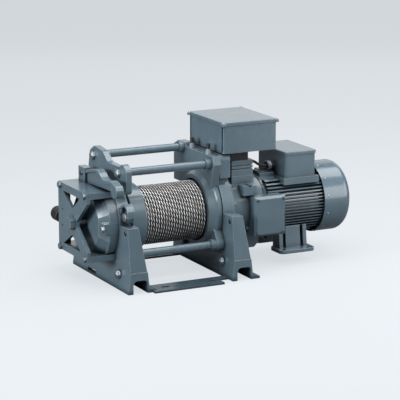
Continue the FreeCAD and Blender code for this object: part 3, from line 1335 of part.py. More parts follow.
def bearing_cover():
    """Faceted dome over the left bearing between the cage plates, with two bolt lugs."""
    low, high = cage_bottom + d.cage_plate, cage_top - d.cage_plate
    floor, roof = low - d.axis_height, high - d.axis_height
    shoulder = cover_face_x + d.cover_shoulder
    at = (0, d.axis_height)
    dome = new_body("bearing_cover", on_axis=True)

    def facets(half, edge, top):
        return [(-half, -edge), (-top, floor), (top, floor), (half, -edge), (half, edge), (top, roof),
                (-top, roof), (-half, edge)]

    face = facets(d.cover_face_half, d.cover_face_edge, d.cover_face_top)
    rim = facets(d.cover_shoulder_half, d.cover_shoulder_edge, d.cover_shoulder_top)
    loft(dome, sketch(dome, "YZ", cover_face_x, [face]), sketch(dome, "YZ", shoulder, [rim]))
    band = cylinder("X", at, d.cover_radius, shoulder, left_face)
    wide = 2 * d.cover_radius
    flats = box((cover_face_x - CLEAR, left_face + CLEAR), (-wide, wide), (low, high))
    hollow = cylinder("X", at, d.cover_face_half - d.cover_wall * 2, cover_face_x + d.cover_wall,
                      left_face + CLEAR)
    spindle = cylinder("X", at, d.spindle_radius + CLEAR, cover_face_x - CLEAR, left_face)
    lugs, holes = [], []
    half = d.cover_lug_width / 2
    for side in (-1, 1):
        near_y, far_y = side * (d.cover_lug_reach - half), side * (d.cover_lug_reach + half / 2)
        first, last = (near_y, far_y) if side > 0 else (far_y, near_y)
        level = cover_lug_level(side)
        lugs.append(box((cover_lug_left, left_face), (first, last), (level - half, level + half)))
        holes.append(cylinder("X", (side * d.cover_lug_reach, level), d.bolt_radius + d.rod_clearance,
                              cover_lug_left - CLEAR, cover_lug_left + d.bolt_grip))
    node("bearing_cover", cut(common(fuse(dome, band, *lugs), flats), hollow, spindle, *holes))


def limit_switch():
    """Switch block on the cage's rear return, and the knob that sets it."""
    back = d.cage_rear - d.cage_return_wall
    half = d.switch_height / 2
    right = cage_left + d.cage_return - CLEAR
    block = box((cage_inner, right), (back - d.switch_depth, back),
                (d.axis_height - half, d.axis_height + half))
    level = d.axis_height - d.knob_drop
    middle = back - d.switch_depth / 2
    bore = cylinder("Y", (knob_x, level), d.knob_spindle + d.running_fit, middle, back + CLEAR)
    node("limit_switch", cut(block, bore))
    seat = d.cage_rear + d.fit
    knob = new_body("limit_switch_knob")
    bind(knob, "Placement.Base.x", knob_x)
    bind(knob, "Placement.Base.z", level)
    inner = middle + CLEAR
    neck, tip = seat + d.knob_neck, seat + d.knob_neck + d.knob_length
    profile = [(0, inner), (d.knob_spindle, inner), (d.knob_spindle, seat), (d.knob_radius * 0.6, seat),
               (d.knob_radius * 0.6, neck), (d.knob_radius, neck), (d.knob_radius, tip), (0, tip)]
    outline = sketch(knob, "XY", 0, [profile])
    spin = knob.newObject("PartDesign::Revolution", "turn")
    spin.Profile = outline
    spin.ReferenceAxis = (outline, ["V_Axis"])
    spin.Angle = 360

    def end_edge(edge):
        curve = edge.Curve
        if not isinstance(curve, Part.Circle):
            return False
        return near(curve.Center.y, tip.number) and near(curve.Radius, d.knob_radius.number)

    fillet_edges(knob, d.knob_round, end_edge)
    node("limit_switch_knob", knob)


def saddle_bracket():
    """Arched bracket on the cage: a wavy web, a raised rim along its crest, a rear block and a front boss."""
    floor = cage_top.number
    left, width, step = saddle_left.number, d.saddle_width.number, d.saddle_step.number
    stations = [(d.saddle_dip_y, d.saddle_dip), (d.saddle_peak_y, d.saddle_peak),
                (d.saddle_fall_y, d.saddle_fall), (d.saddle_knee_y, d.saddle_knee),
                (d.saddle_shelf_y, d.saddle_shelf), (d.saddle_front_y, d.saddle_front)]
    crest = [Vector(0, y.number, floor + rise.number) for y, rise in stations]

    def wave(drop):
        curve = Part.BSplineCurve()
        curve.interpolate([point - Vector(0, 0, drop) for point in crest])
        return curve.toShape()

    def slab(under, start, depth):
        top = wave(0)
        edges = [top, under]
        for vertex in (0, -1):
            edges.append(Part.LineSegment(top.Vertexes[vertex].Point, under.Vertexes[vertex].Point).toShape())
        solid = Part.Face(Part.Wire(Part.__sortEdges__(edges))).extrude(Vector(depth, 0, 0))
        solid.translate(Vector(start, 0, 0))
        return solid

    rear_foot = Vector(0, crest[0].y, floor)
    front_foot = Vector(0, crest[-1].y, floor + d.saddle_end_rise.number)
    web = slab(Part.LineSegment(rear_foot, front_foot).toShape(), left, width)
    rim = slab(wave(d.saddle_rim.number), left - step, width + step)
    block_y = (d.saddle_rear - d.saddle_block).number
    block = Part.makeBox(width + step, d.saddle_block.number, d.saddle_block_rise.number,
                         Vector(left - step, block_y, floor))
    centre = Vector(left - step, d.saddle_front_y.number, floor + d.saddle_boss_rise.number)
    boss = Part.makeCylinder(d.saddle_boss.number, width + step, centre, Vector(1, 0, 0))
    item = doc.addObject("Part::Feature", "saddle_solid")
    item.Shape = web.fuse([rim, block, boss]).removeSplitter()
    node("saddle_bracket", item)


def hexagon_bolts():
    """Cage corner bolts, cover bolts and the side bolt in its lug, then the foot cross bolts."""
    plate_grip = d.bolt_grip + d.end_plate - CLEAR
    grip = d.bolt_grip - CLEAR
    bolts = [bolt("X", at, cage_left, -1, d.bolt_across, d.bolt_head, d.bolt_radius, plate_grip)
             for at in cage_bolt_places]
    bolts += [bolt("X", (side * d.cover_lug_reach, cover_lug_level(side)), cover_lug_left, -1, d.bolt_across,
                   d.bolt_head, d.bolt_radius, grip) for side in (-1, 1)]
    bolts.append(bolt("X", (d.side_lug_y, side_lug_z), left_face + d.left_ear_inset, -1, d.side_bolt_across,
                      d.side_bolt_head, d.bolt_radius, grip))
    node("hexagon_bolts", group(*bolts))
    crosses = []
    for middle in (left_x, right_x):
        left = middle - d.face_offset - d.foot_bolt_seat
        right = middle + d.shoulder_reach + d.foot_bolt_seat
        for side in (-1, 1):
            at = (side * d.foot_bolt_y, foot_bolt_z)
            head = hexagon("X", at, d.foot_bolt_across, left - d.foot_bolt_head, left)
            shank = cylinder("X", at, d.foot_bolt_radius, left - CLEAR, right + d.foot_bolt_head)
            nut = hexagon("X", at, d.foot_bolt_across, right, right + d.foot_bolt_head)
            crosses.append(fuse(head, shank, nut))
    node("foot_bolts", group(*crosses))


def check_and_write():
    """Stops on a failed object or a bad shape, then writes one STEP file for each sub-part."""
    doc.recompute()
    for item in doc.Objects:
        if {"Invalid", "Error"} & set(item.State):
            raise RuntimeError(f"{item.Name} ({item.Label}) failed: {item.State}")
    for name, item in NODES.items():
        shape = item.Shape
        if shape.isNull() or not shape.isValid() or not shape.Solids:
            raise RuntimeError(f"{name} has no valid solid")
    os.makedirs("parts", exist_ok=True)
    for name, item in NODES.items():
        item.Shape.exportStep(f"parts/{name}.step")
    print(len(NODES), "sub-parts,", sum(len(item.Shape.Solids) for item in NODES.values()), "solids")


pedestals()
right_end_shield()
tie_rods()
base_strip("front_base_strip", -1)
base_strip("rear_base_strip", 1)
drum()
drum_shaft()
bearings()
wire_rope()
ring_gear()
planets("output", output_left, output_right)
planets("input", input_left, input_right)
output_carrier()
input_carrier()
motor_shaft()
gear_housing()
box_support()
box_studs()
control_box()
brake_box()
junction_block()
motor_frame()
motor_foot()
motor_shields()
motor_inside()
brake()
fan()
fan_cowl()
terminal_box()
cage()
bearing_cover()
limit_switch()
saddle_bracket()
hexagon_bolts()
check_and_write()
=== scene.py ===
"""Electric rope winch in a pale studio: finishes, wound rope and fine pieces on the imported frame.

Lengths are in metres in the winch's own frame: +X runs along the drum axis towards the motor, +Y to the back and
+Z up, with the floor at z = 0.
"""

from __future__ import annotations

import json
import logging
import math
from dataclasses import dataclass, field
from enum import Enum

import bmesh
import bpy
import numpy as np
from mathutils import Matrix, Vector


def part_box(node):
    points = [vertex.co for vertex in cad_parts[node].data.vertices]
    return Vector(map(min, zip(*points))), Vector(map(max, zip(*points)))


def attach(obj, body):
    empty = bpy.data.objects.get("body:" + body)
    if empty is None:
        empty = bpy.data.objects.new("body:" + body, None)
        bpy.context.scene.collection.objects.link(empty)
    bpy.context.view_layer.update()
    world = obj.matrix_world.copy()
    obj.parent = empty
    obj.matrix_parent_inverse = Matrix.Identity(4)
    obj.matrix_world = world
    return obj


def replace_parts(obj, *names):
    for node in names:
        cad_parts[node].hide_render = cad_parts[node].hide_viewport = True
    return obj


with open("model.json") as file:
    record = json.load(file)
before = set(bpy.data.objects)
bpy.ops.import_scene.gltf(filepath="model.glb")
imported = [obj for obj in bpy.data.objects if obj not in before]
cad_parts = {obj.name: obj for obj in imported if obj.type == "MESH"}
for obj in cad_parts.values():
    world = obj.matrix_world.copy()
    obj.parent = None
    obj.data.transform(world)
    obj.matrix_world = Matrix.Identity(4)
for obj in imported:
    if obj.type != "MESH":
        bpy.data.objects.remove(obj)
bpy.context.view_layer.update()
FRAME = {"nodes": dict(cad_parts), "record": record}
LOG = logging.getLogger("winch")
MM = 0.001
AXIS_Z = 174 * MM
WELD_DISTANCE = 1e-7
ROUND_WIRE_SHARP = 80.0

Place = tuple[float, float, float]
Colour = tuple[float, float, float]
Pair = tuple[float, float]
Socket = bpy.types.NodeSocket


class Slot(Enum):
    """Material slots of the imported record."""

    CASTING = "casting_paint"
    SHEET = "sheet_paint"
    MOTOR = "motor_paint"
    BRIGHT = "bright_steel"
    MACHINED = "machined_steel"
    ROPE = "rope_wire"
    RUBBER = "black_rubber"
    PLASTIC = "black_plastic"
    PALE = "pale_plastic"


class Body(Enum):
    """Bodies that the scene's own pieces ride on."""

    FRAME = "frame"
    DRUM = "drum"
    KNOB = "limit_switch_knob_body"


class Facing(Enum):
    """Directions in which a turned piece can look, each with the rotation that brings +Z there."""

    LEFT = ((0, 0, -1), (-1, 0, 0), (0, 1, 0))
    RIGHT = ((0, 0, 1), (1, 0, 0), (0, 1, 0))
    FRONT = ((1, 0, 0), (0, 0, -1), (0, 1, 0))
    BACK = ((0, 1, 0), (0, 0, 1), (1, 0, 0))
    UP = ((1, 0, 0), (0, 1, 0), (0, 0, 1))

    def rotation(self) -> np.ndarray:
        """The 3 by 3 rotation of this direction."""
        return np.array(self.value, float)


# Surfaces as arrays


@dataclass(frozen=True)
class Surface:
    """Points and quads of a surface, with a UV pair for each point where a pattern needs one."""

    points: np.ndarray
    faces: np.ndarray
    uv: np.ndarray | None = None

    def placed(self, facing: Facing, at: Place) -> Surface:
        """A copy that looks the given way, with its own origin at the given point."""
        points = self.points @ facing.rotation().T + np.array(at, float)
        return Surface(points, self.faces, self.uv)

    def lifted(self, height: float) -> Surface:
        """A copy that is moved along its own +Z."""
        return Surface(self.points + np.array((0, 0, height)), self.faces, self.uv)

    def turned_about_axis(self, angle: float) -> Surface:
        """A copy that is turned about the drum axis.

        Args:
            angle: the turn in radians, from +Y towards +Z.

        Returns:
            The turned surface.
        """
        cosine, sine = math.cos(angle), math.sin(angle)
        turn = np.array(((1, 0, 0), (0, cosine, -sine), (0, sine, cosine)))
        centre = np.array((0, 0, AXIS_Z))
        return Surface((self.points - centre) @ turn.T + centre, self.faces, self.uv)


def grid_surface(points: np.ndarray, close_columns: bool, uv: np.ndarray | None = None) -> Surface:
    """Quads between neighbours of a grid of points.

    Args:
        points: array of rows by columns by three.
        close_columns: whether the last column joins the first.
        uv: array of rows by columns by two, or nothing.

    Returns:
        The grid as a surface.
    """
    rows, columns = points.shape[:2]
    index = np.arange(rows * columns).reshape(rows, columns)
    if close_columns:
        index = np.concatenate((index, index[:, :1]), axis=1)
    corners = (index[:-1, :-1], index[:-1, 1:], index[1:, 1:], index[1:, :-1])
    faces = np.stack(corners, axis=-1).reshape(-1, 4)
    flat_uv = None if uv is None else uv.reshape(-1, 2)
    return Surface(points.reshape(-1, 3), faces, flat_uv)


def joined(surfaces: list[Surface]) -> Surface:
    """One surface from several.

    Args:
        surfaces: the surfaces, all of quads, and all or none of them with UV pairs.

    Returns:
        Their points, faces and UV pairs in one set of arrays.
    """
    starts = np.cumsum([0] + [len(item.points) for item in surfaces[:-1]])
    points = np.concatenate([item.points for item in surfaces])
    faces = np.concatenate([item.faces + start for item, start in zip(surfaces, starts)])
    if surfaces[0].uv is None:
        return Surface(points, faces)
    return Surface(points, faces, np.concatenate([item.uv for item in surfaces]))


def spun(radius: np.ndarray, height: np.ndarray, angle: np.ndarray) -> Surface:
    """Radii over a grid of heights and angles about +Z, as points (r cos a, r sin a, h), closed round the turn."""
    level = np.broadcast_to(height[:, None], radius.shape)
    return grid_surface(np.stack((radius * np.cos(angle), radius * np.sin(angle), level), -1), True)


def full_turn(steps: int) -> np.ndarray:
    """Angles of a full turn in equal steps."""
    return np.linspace(0, 2 * np.pi, steps, endpoint=False)


def about_axis(x: np.ndarray, radius: np.ndarray, angle: np.ndarray) -> np.ndarray:
    """Points about the drum axis, with one angle for each row: (x, r cos a, axis height + r sin a)."""
    turn = angle[:, None]
    return np.stack((x, radius * np.cos(turn), AXIS_Z + radius * np.sin(turn)), -1)


def ring_of(first: Surface, count: int, start: float) -> list[Surface]:
    """Copies of a surface in equal steps about the drum axis, from a start in degrees."""
    return [first.turned_about_axis(math.radians(start + 360 / count * step)) for step in range(count)]


def lathe(profile: list[Pair], steps: int = 48) -> Surface:
    """A surface of revolution about +Z: each (height, radius) of the profile is carried round a full turn."""
    height, radius = np.array(profile, float).T
    return spun(np.repeat(radius[:, None], steps, axis=1), height, full_turn(steps))


def hexagon_radius(angle: np.ndarray, across: float) -> np.ndarray:
    """Distance from a hexagon's centre to its side: half the width across flats over the cosine to the flat."""
    local = np.mod(angle, np.pi / 3) - np.pi / 6
    return across / 2 / np.cos(local)


def hex_head(across: float, height: float, crown: float = 0.94) -> Surface:
    """A chamfered hexagon head: at each height the smaller of the hexagon and a 30 degree cone, then a flat crown.

    Args:
        across: width across flats.
        height: height of the head.
        crown: share of the width that the flat crown takes.

    Returns:
        The head with its foot at z = 0.
    """
    angle = full_turn(steps=48)
    chamfer_start, chamfer_rows = 0.62, 9
    level = np.concatenate(([0.0], height * np.linspace(chamfer_start, 1.0, chamfer_rows)))
    cone = across / 2 * crown + (height - level) * math.sqrt(3)
    radius = np.minimum(hexagon_radius(angle, across)[None], cone[:, None])
    radius = np.concatenate((radius[:1] * 0, radius, radius[-1:] * 0))
    return spun(radius, np.concatenate(([0.0], level, [height])), angle)


def threaded_stud(radius: float, length: float, pitch: float) -> Surface:
    """A stud whose radius follows a triangle wave of height less the share of the turn: a screw thread.

    Args:
        radius: outer radius.
        length: length from z = 0.
        pitch: rise of one turn.

    Returns:
        The stud with a chamfered, closed end.
    """
    angle = full_turn(steps=28)
    tip_share, thread_depth, rows_per_turn, least_rows = 0.88, 0.5 * pitch, 5, 8
    level = np.linspace(0, length, max(least_rows, int(length / pitch * rows_per_turn)))
    phase = level[:, None] / pitch - angle[None] / (2 * np.pi)
    wave = np.abs(np.mod(phase, 1.0) - 0.5) * 2
    taper = np.clip((length - level) / pitch, 0.0, 1.0)[:, None]
    reach = radius * (tip_share + (1 - tip_share) * taper) - wave * thread_depth * taper
    reach = np.concatenate((reach, reach[-1:] * 0))
    return spun(reach, np.concatenate((level, [length])), angle)


def socket_screw(radius: float, height: float, across: float) -> Surface:
    """A round screw head with a hexagon socket: outside wall, rounded edge, crown, then the socket's wall and floor.

    Args:
        radius: radius of the head.
        height: height of the head.
        across: width across flats of the socket.

    Returns:
        The head with its foot at z = 0.
    """
    angle = full_turn(steps=36)
    edge, deep = 0.12 * radius, 0.45 * height
    soft = 0.3 * edge
    plain = np.ones_like(angle)
    socket = hexagon_radius(angle, across)
    rows = [0 * plain, radius * plain, radius * plain, (radius - soft) * plain, (radius - edge) * plain,
            socket, socket, 0 * plain]
    levels = [0.0, 0.0, height - edge, height - soft, height, height, deep, deep]
    return spun(np.stack(rows), np.array(levels), angle)


def washer(inner: float, outer: float, thickness: float) -> Surface:
    """A flat washer with slightly rounded rims.

    Args:
        inner: radius of the hole.
        outer: outer radius.
        thickness: thickness from z = 0.

    Returns:
        The washer.
    """
    rim = thickness * 0.3
    profile = [(0, inner), (0, outer - rim), (rim, outer), (thickness - rim, outer), (thickness, outer - rim),
               (thickness, inner), (0, inner)]
    return lathe(profile)


def domed_head(radius: float, height: float) -> Surface:
    """A low round head whose crown is a quarter of an ellipse: radius r sin t at height h cos t."""
    sweep = np.linspace(np.pi / 2, 0, num=9)
    return lathe([(0.0, 0.0), *zip(height * np.cos(sweep), radius * np.sin(sweep))], steps=28)


def coil(radius: float, wire: float, length: float, turns: float) -> Surface:
    """A round wire wound about +Z: a circle carried along a helix, with both ends drawn to a point.

    Args:
        radius: radius of the wire's centre line.
        wire: radius of the wire.
        length: rise of the whole coil.
        turns: number of turns.

    Returns:
        The coil from z = 0 upwards.
    """
    steps_per_turn = 40
    count = int(turns * steps_per_turn) + 1
    along = np.linspace(0, 1, count)
    angle = along * turns * 2 * np.pi
    thick = np.full(count, wire)
    thick[[0, -1]] = 0
    side = full_turn(steps=10)
    reach = radius + thick[:, None] * np.cos(side)
    level = along[:, None] * length + thick[:, None] * np.sin(side)
    points = np.stack((reach * np.cos(angle)[:, None], reach * np.sin(angle)[:, None], level), -1)
    return grid_surface(points, True)


# Finishes


def tinted(colour: Colour, factors: Colour, lift: float = 0.0) -> Colour:
    """A colour whose channels are multiplied by the factors and then lifted."""
    red, green, blue = (channel * factor + lift for channel, factor in zip(colour, factors))
    return red, green, blue


class ShaderBench:
    """A material's node tree with one principled shader and its coordinates."""

    samples: int = 6

    def __init__(self, name: str) -> None:
        """Starts a material.

        Args:
            name: name of the material.
        """
        self.material = bpy.data.materials.new(name)
        self.material.use_nodes = True
        self.tree = self.material.node_tree
        self.shader = self.tree.nodes["Principled BSDF"]
        self.place = self.tree.nodes.new("ShaderNodeTexCoord")

    def add(self, kind: str, links: dict[str | int, Socket], values: dict[str | int, object],
            **settings: object) -> bpy.types.Node:
        """Adds a node.

        Args:
            kind: type of the node, without its prefix.
            links: sockets that feed its inputs.
            values: inputs that are the same everywhere.
            settings: properties of the node, set before its inputs are looked up.

        Returns:
            The node.
        """
        node = self.tree.nodes.new("ShaderNode" + kind)
        for name, setting in settings.items():
            setattr(node, name, setting)
        for key, value in values.items():
            node.inputs[key].default_value = value
        for key, socket in links.items():
            self.tree.links.new(socket, node.inputs[key])
        return node

    def moved(self, source: str, scale: Place = (1.0, 1.0, 1.0), shift: Place = (0.0, 0.0, 0.0)) -> Socket:
        """A coordinate that is scaled and then shifted along each axis."""
        values = {"Scale": scale, "Location": shift}
        return self.add("Mapping", {"Vector": self.place.outputs[source]}, values).outputs["Vector"]

    def noise(self, scale: float, detail: float = 4.0, rough: float = 0.55, source: str = "Object",
              stretch: Place = (1.0, 1.0, 1.0)) -> Socket:
        """A noise pattern, with its scale in waves for each metre or UV unit, and a stretch for a grain."""
        values = {"Scale": scale, "Detail": detail, "Roughness": rough}
        return self.add("TexNoise", {"Vector": self.moved(source, stretch)}, values).outputs["Fac"]

    def ramp(self, value: Socket, stops: list[tuple[float, Colour]]) -> Socket:
        """A colour ramp over a value.

        Args:
            value: the socket that is looked up.
            stops: places and colours, in order.

        Returns:
            The colour socket.
        """
        node = self.add("ValToRGB", {"Fac": value}, {})
        band = node.color_ramp
        while len(band.elements) < len(stops):
            band.elements.new(0.5)
        for element, (place, colour) in zip(band.elements, stops):
            element.position = place
            element.color = (*colour, 1.0)
        return node.outputs["Color"]

    def span(self, value: Socket, start: float, end: float, low: float = 0.0, high: float = 1.0) -> Socket:
        """A value stretched from the range start to end into the range low to high, and held at its ends."""
        values = {"From Min": start, "From Max": end, "To Min": low, "To Max": high}
        return self.add("MapRange", {"Value": value}, values).outputs["Result"]

    def product(self, first: Socket, second: Socket) -> Socket:
        """Two values multiplied."""
        return self.add("Math", {0: first, 1: second}, {}, operation="MULTIPLY").outputs["Value"]

    def mix(self, share: Socket, first: Socket, second: Colour) -> Socket:
        """Mixes the second colour over the first by a share, where 0 keeps the first."""
        links = {"Factor": share, "A": first}
        return self.add("Mix", links, {"B": (*second, 1.0)}, data_type="RGBA").outputs["Result"]

    def bump(self, height: Socket, strength: float, distance: float, below: Socket | None = None) -> Socket:
        """A bump over an optional lower normal, with a full wave's height in metres as its distance."""
        links = {"Height": height} if below is None else {"Height": height, "Normal": below}
        return self.add("Bump", links, {"Strength": strength, "Distance": distance}).outputs["Normal"]

    def rounded_normal(self, radius: float) -> Socket:
        """The normal averaged over the surface within a radius, which makes a sharp edge shade as a rounded one."""
        return self.add("Bevel", {}, {"Radius": radius}, samples=self.samples).outputs["Normal"]

    def edge_share(self, rounded: Socket) -> Socket:
        """How much of an edge each point is: the lean of the rounded normal from the plain one.

        Args:
            rounded: the rounded normal.

        Returns:
            0 on a flat, 1 on a sharp edge.
        """
        plain = self.add("NewGeometry", {}, {}).outputs["Normal"]
        lean = self.add("VectorMath", {0: rounded, 1: plain}, {}, operation="DOT_PRODUCT")
        return self.span(lean.outputs["Value"], start=0.99, end=0.80)

    def openness(self, distance: float) -> Socket:
        """How open each point lies to what is round it within a distance: 0 in a tight corner, 1 on a free flat."""
        return self.add("AmbientOcclusion", {}, {"Distance": distance}, samples=self.samples).outputs["AO"]

    def axis_distance(self) -> Socket:
        """Distance of each point from the drum axis, from the Y and Z of its Object coordinates."""
        flat = self.moved("Object", scale=(0.0, 1.0, 1.0), shift=(0.0, 0.0, -AXIS_Z))
        return self.add("VectorMath", {0: flat}, {}, operation="LENGTH").outputs["Value"]

    def height(self) -> Socket:
        """Height of each point above the floor, from the Z of its Object coordinates."""
        return self.add("SeparateXYZ", {"Vector": self.place.outputs["Object"]}, {}).outputs["Z"]

    def feed(self, name: str, socket: Socket) -> None:
        """Links a socket to an input of the shader."""
        self.tree.links.new(socket, self.shader.inputs[name])

    def fix(self, **inputs: float | tuple[float, ...]) -> None:
        """Sets inputs of the shader that are the same all over the surface."""
        for name, value in inputs.items():
            self.shader.inputs[name.replace("_", " ")].default_value = value


class PaintTone(Enum):
    """Shades that the paint takes: a factor for each channel, and a lift. The edge tone is partly a painted
    highlight, the corner tone is painted shade.
    """

    DARKER = ((0.88, 0.89, 0.90), 0.0)
    LIGHTER = ((1.10, 1.09, 1.08), 0.0)
    DUSTY = ((1.5, 1.45, 1.4), 0.03)
    # partly worn paint, partly a painted highlight on the edges
    WORN_AND_HIGHLIGHT = ((2.4, 2.2, 2.1), 0.10)
    # painted shade for corners, creases and recesses
    PAINTED_SHADE = ((0.08, 0.09, 0.10), 0.0)
    # darker tone towards the floor
    LOW_DARK = ((0.35, 0.38, 0.40), 0.0)

    def of(self, colour: Colour) -> Colour:
        """This shade of a colour."""
        return tinted(colour, *self.value)


@dataclass(frozen=True)
class PaintFinish:
    """Machine paint with an uneven tone, orange peel, edges lightened by wear and a painted highlight, painted shade
    in the corners and a darker tone towards the floor.
    """

    name: str
    colour: Colour
    roughness: float
    grain: float
    grain_height: float
    edge_radius: float = 1.0 * MM
    corner_reach: float = 25 * MM
    # heights over which the paint grows darker towards the floor
    low_dark_top: float = 14 * MM
    low_dark_full: float = 4 * MM
    dust: float = 0.05
    # how far free edges are lightened: partly wear, partly a painted highlight
    wear_and_highlight: float = 0.85
    # how dark the painted shade in corners gets
    painted_corner_shade: float = 0.92
    # how much darker the paint gets towards the floor
    low_dark: float = 0.85

    def tone(self, bench: ShaderBench, rounded: Socket) -> Socket:
        """Paint colour with edges lightened by wear and a painted highlight, painted shade in the corners and a
        darker tone towards the floor.

        Args:
            bench: the material's bench.
            rounded: the rounded normal.

        Returns:
            The colour socket.
        """
        shade = {tone: tone.of(self.colour) for tone in PaintTone}
        clouds = bench.noise(14.0, detail=5.0, rough=0.6)
        stops = [(0.3, shade[PaintTone.DARKER]), (0.55, self.colour), (0.8, shade[PaintTone.LIGHTER])]
        paint = bench.ramp(clouds, stops)
        specks = bench.noise(60.0, detail=2.0, rough=0.5)
        paint = bench.mix(bench.span(specks, 0.55, 0.75, high=self.dust), paint, shade[PaintTone.DUSTY])
        open_share = bench.openness(self.corner_reach)
        patchy = bench.span(bench.noise(70.0, detail=3.0), 0.35, 0.6, low=0.45)
        # free edges lightened in patches: partly worn paint, partly a painted highlight
        free = bench.span(open_share, 0.60, 0.90, high=self.wear_and_highlight)
        edge = bench.product(bench.edge_share(rounded), free)
        paint = bench.mix(bench.product(edge, patchy), paint, shade[PaintTone.WORN_AND_HIGHLIGHT])
        # painted shade: darker where other surfaces close in, in corners, creases and recesses
        paint = bench.mix(bench.span(open_share, 0.88, 0.35, high=self.painted_corner_shade), paint, shade[PaintTone.PAINTED_SHADE])
        # darker towards the floor
        low = bench.span(bench.height(), self.low_dark_top, self.low_dark_full, high=self.low_dark)
        return bench.mix(low, paint, shade[PaintTone.LOW_DARK])

    def build(self) -> bpy.types.Material:
        """The paint as a material.

        Returns:
            The material.
        """
        bench = ShaderBench(self.name)
        rounded = bench.rounded_normal(self.edge_radius)
        bench.feed("Base Color", self.tone(bench, rounded))
        shine = bench.noise(22.0, detail=2.0)
        bench.feed("Roughness", bench.span(shine, 0.3, 0.7, self.roughness - 0.02, self.roughness + 0.03))
        peel = bench.bump(bench.noise(90.0, detail=1.0), strength=0.06, distance=0.2 * MM, below=rounded)
        grain = bench.noise(self.grain, detail=2.0)
        bench.feed("Normal", bench.bump(grain, strength=0.3, distance=self.grain_height, below=peel))
        bench.fix(IOR=1.5, Coat_Weight=0.7, Coat_Roughness=0.14)
        return bench.material


@dataclass(frozen=True)
class SteelFinish:
    """Bare or plated steel with fine turning marks."""

    name: str
    colour: Colour
    roughness: float
    stretch: Place = (1.0, 1.0, 1.0)

    def build(self) -> bpy.types.Material:
        """The steel as a material.

        Returns:
            The material.
        """
        bench = ShaderBench(self.name)
        stain = tinted(self.colour, (0.72, 0.71, 0.70))
        bench.feed("Base Color", bench.ramp(bench.noise(90.0), [(0.35, stain), (0.6, self.colour)]))
        marks = bench.noise(900.0, detail=2.0, rough=0.5, stretch=self.stretch)
        bench.feed("Roughness", bench.span(marks, 0.3, 0.7, self.roughness - 0.08, self.roughness + 0.12))
        rounded = bench.rounded_normal(0.4 * MM)
        bench.feed("Normal", bench.bump(marks, strength=0.25, distance=0.06 * MM, below=rounded))
        bench.fix(Metallic=1.0)
        return bench.material


@dataclass(frozen=True)
class RopeFinish:
    """Oiled stranded wire: light crests over grooves darkened with painted shade, with single wires along each
    strand's UV map.
    """

    name: str
    light: Colour
    gap_shade: Colour
    groove: float
    crest: float

    def build(self) -> bpy.types.Material:
        """The wire rope as a material.

        Returns:
            The material.
        """
        bench = ShaderBench(self.name)
        height = bench.span(bench.axis_distance(), self.groove, self.crest)
        share = 0.04
        middle = tuple(share * light + (1 - share) * gap_shade for light, gap_shade in zip(self.light, self.gap_shade))
        # painted shade: near black in the grooves between strands, light on the crests, by distance from the drum
        # axis
        tone = bench.ramp(height, [(0.0, self.gap_shade), (0.66, middle), (0.80, self.light)])
        wires = bench.noise(1.0, detail=2.0, rough=0.5, source="UV", stretch=(14.0, 7.0, 1.0))
        # darkens the rope in a pattern of single wires towards the same near-black groove colour
        tone = bench.mix(bench.span(wires, 0.52, 0.68, high=0.30), tone, self.gap_shade)
        oily = tinted(self.light, (0.20, 0.19, 0.18))
        tone = bench.mix(bench.span(bench.noise(38.0, detail=3.0), 0.50, 0.66, high=0.70), tone, oily)
        bench.feed("Base Color", tone)
        bench.feed("Roughness", bench.span(wires, 0.3, 0.7, low=0.24, high=0.42))
        bench.feed("Normal", bench.bump(wires, strength=0.5, distance=0.3 * MM))
        bench.fix(Metallic=0.25)
        return bench.material


@dataclass(frozen=True)
class PlasticFinish:
    """Moulded plastic or rubber with a fine even grain."""

    name: str
    colour: Colour
    roughness: float
    grain: float = 1400.0

    def build(self) -> bpy.types.Material:
        """The plastic as a material.

        Returns:
            The material.
        """
        bench = ShaderBench(self.name)
        worn = tinted(self.colour, (1.35, 1.35, 1.35), lift=0.008)
        bench.feed("Base Color", bench.ramp(bench.noise(45.0), [(0.4, self.colour), (0.8, worn)]))
        shine = bench.noise(120.0, detail=3.0)
        bench.feed("Roughness", bench.span(shine, 0.3, 0.7, self.roughness - 0.05, self.roughness + 0.1))
        rounded = bench.rounded_normal(1.0 * MM)
        grain = bench.noise(self.grain, detail=2.0)
        bench.feed("Normal", bench.bump(grain, strength=0.4, distance=0.1 * MM, below=rounded))
        return bench.material


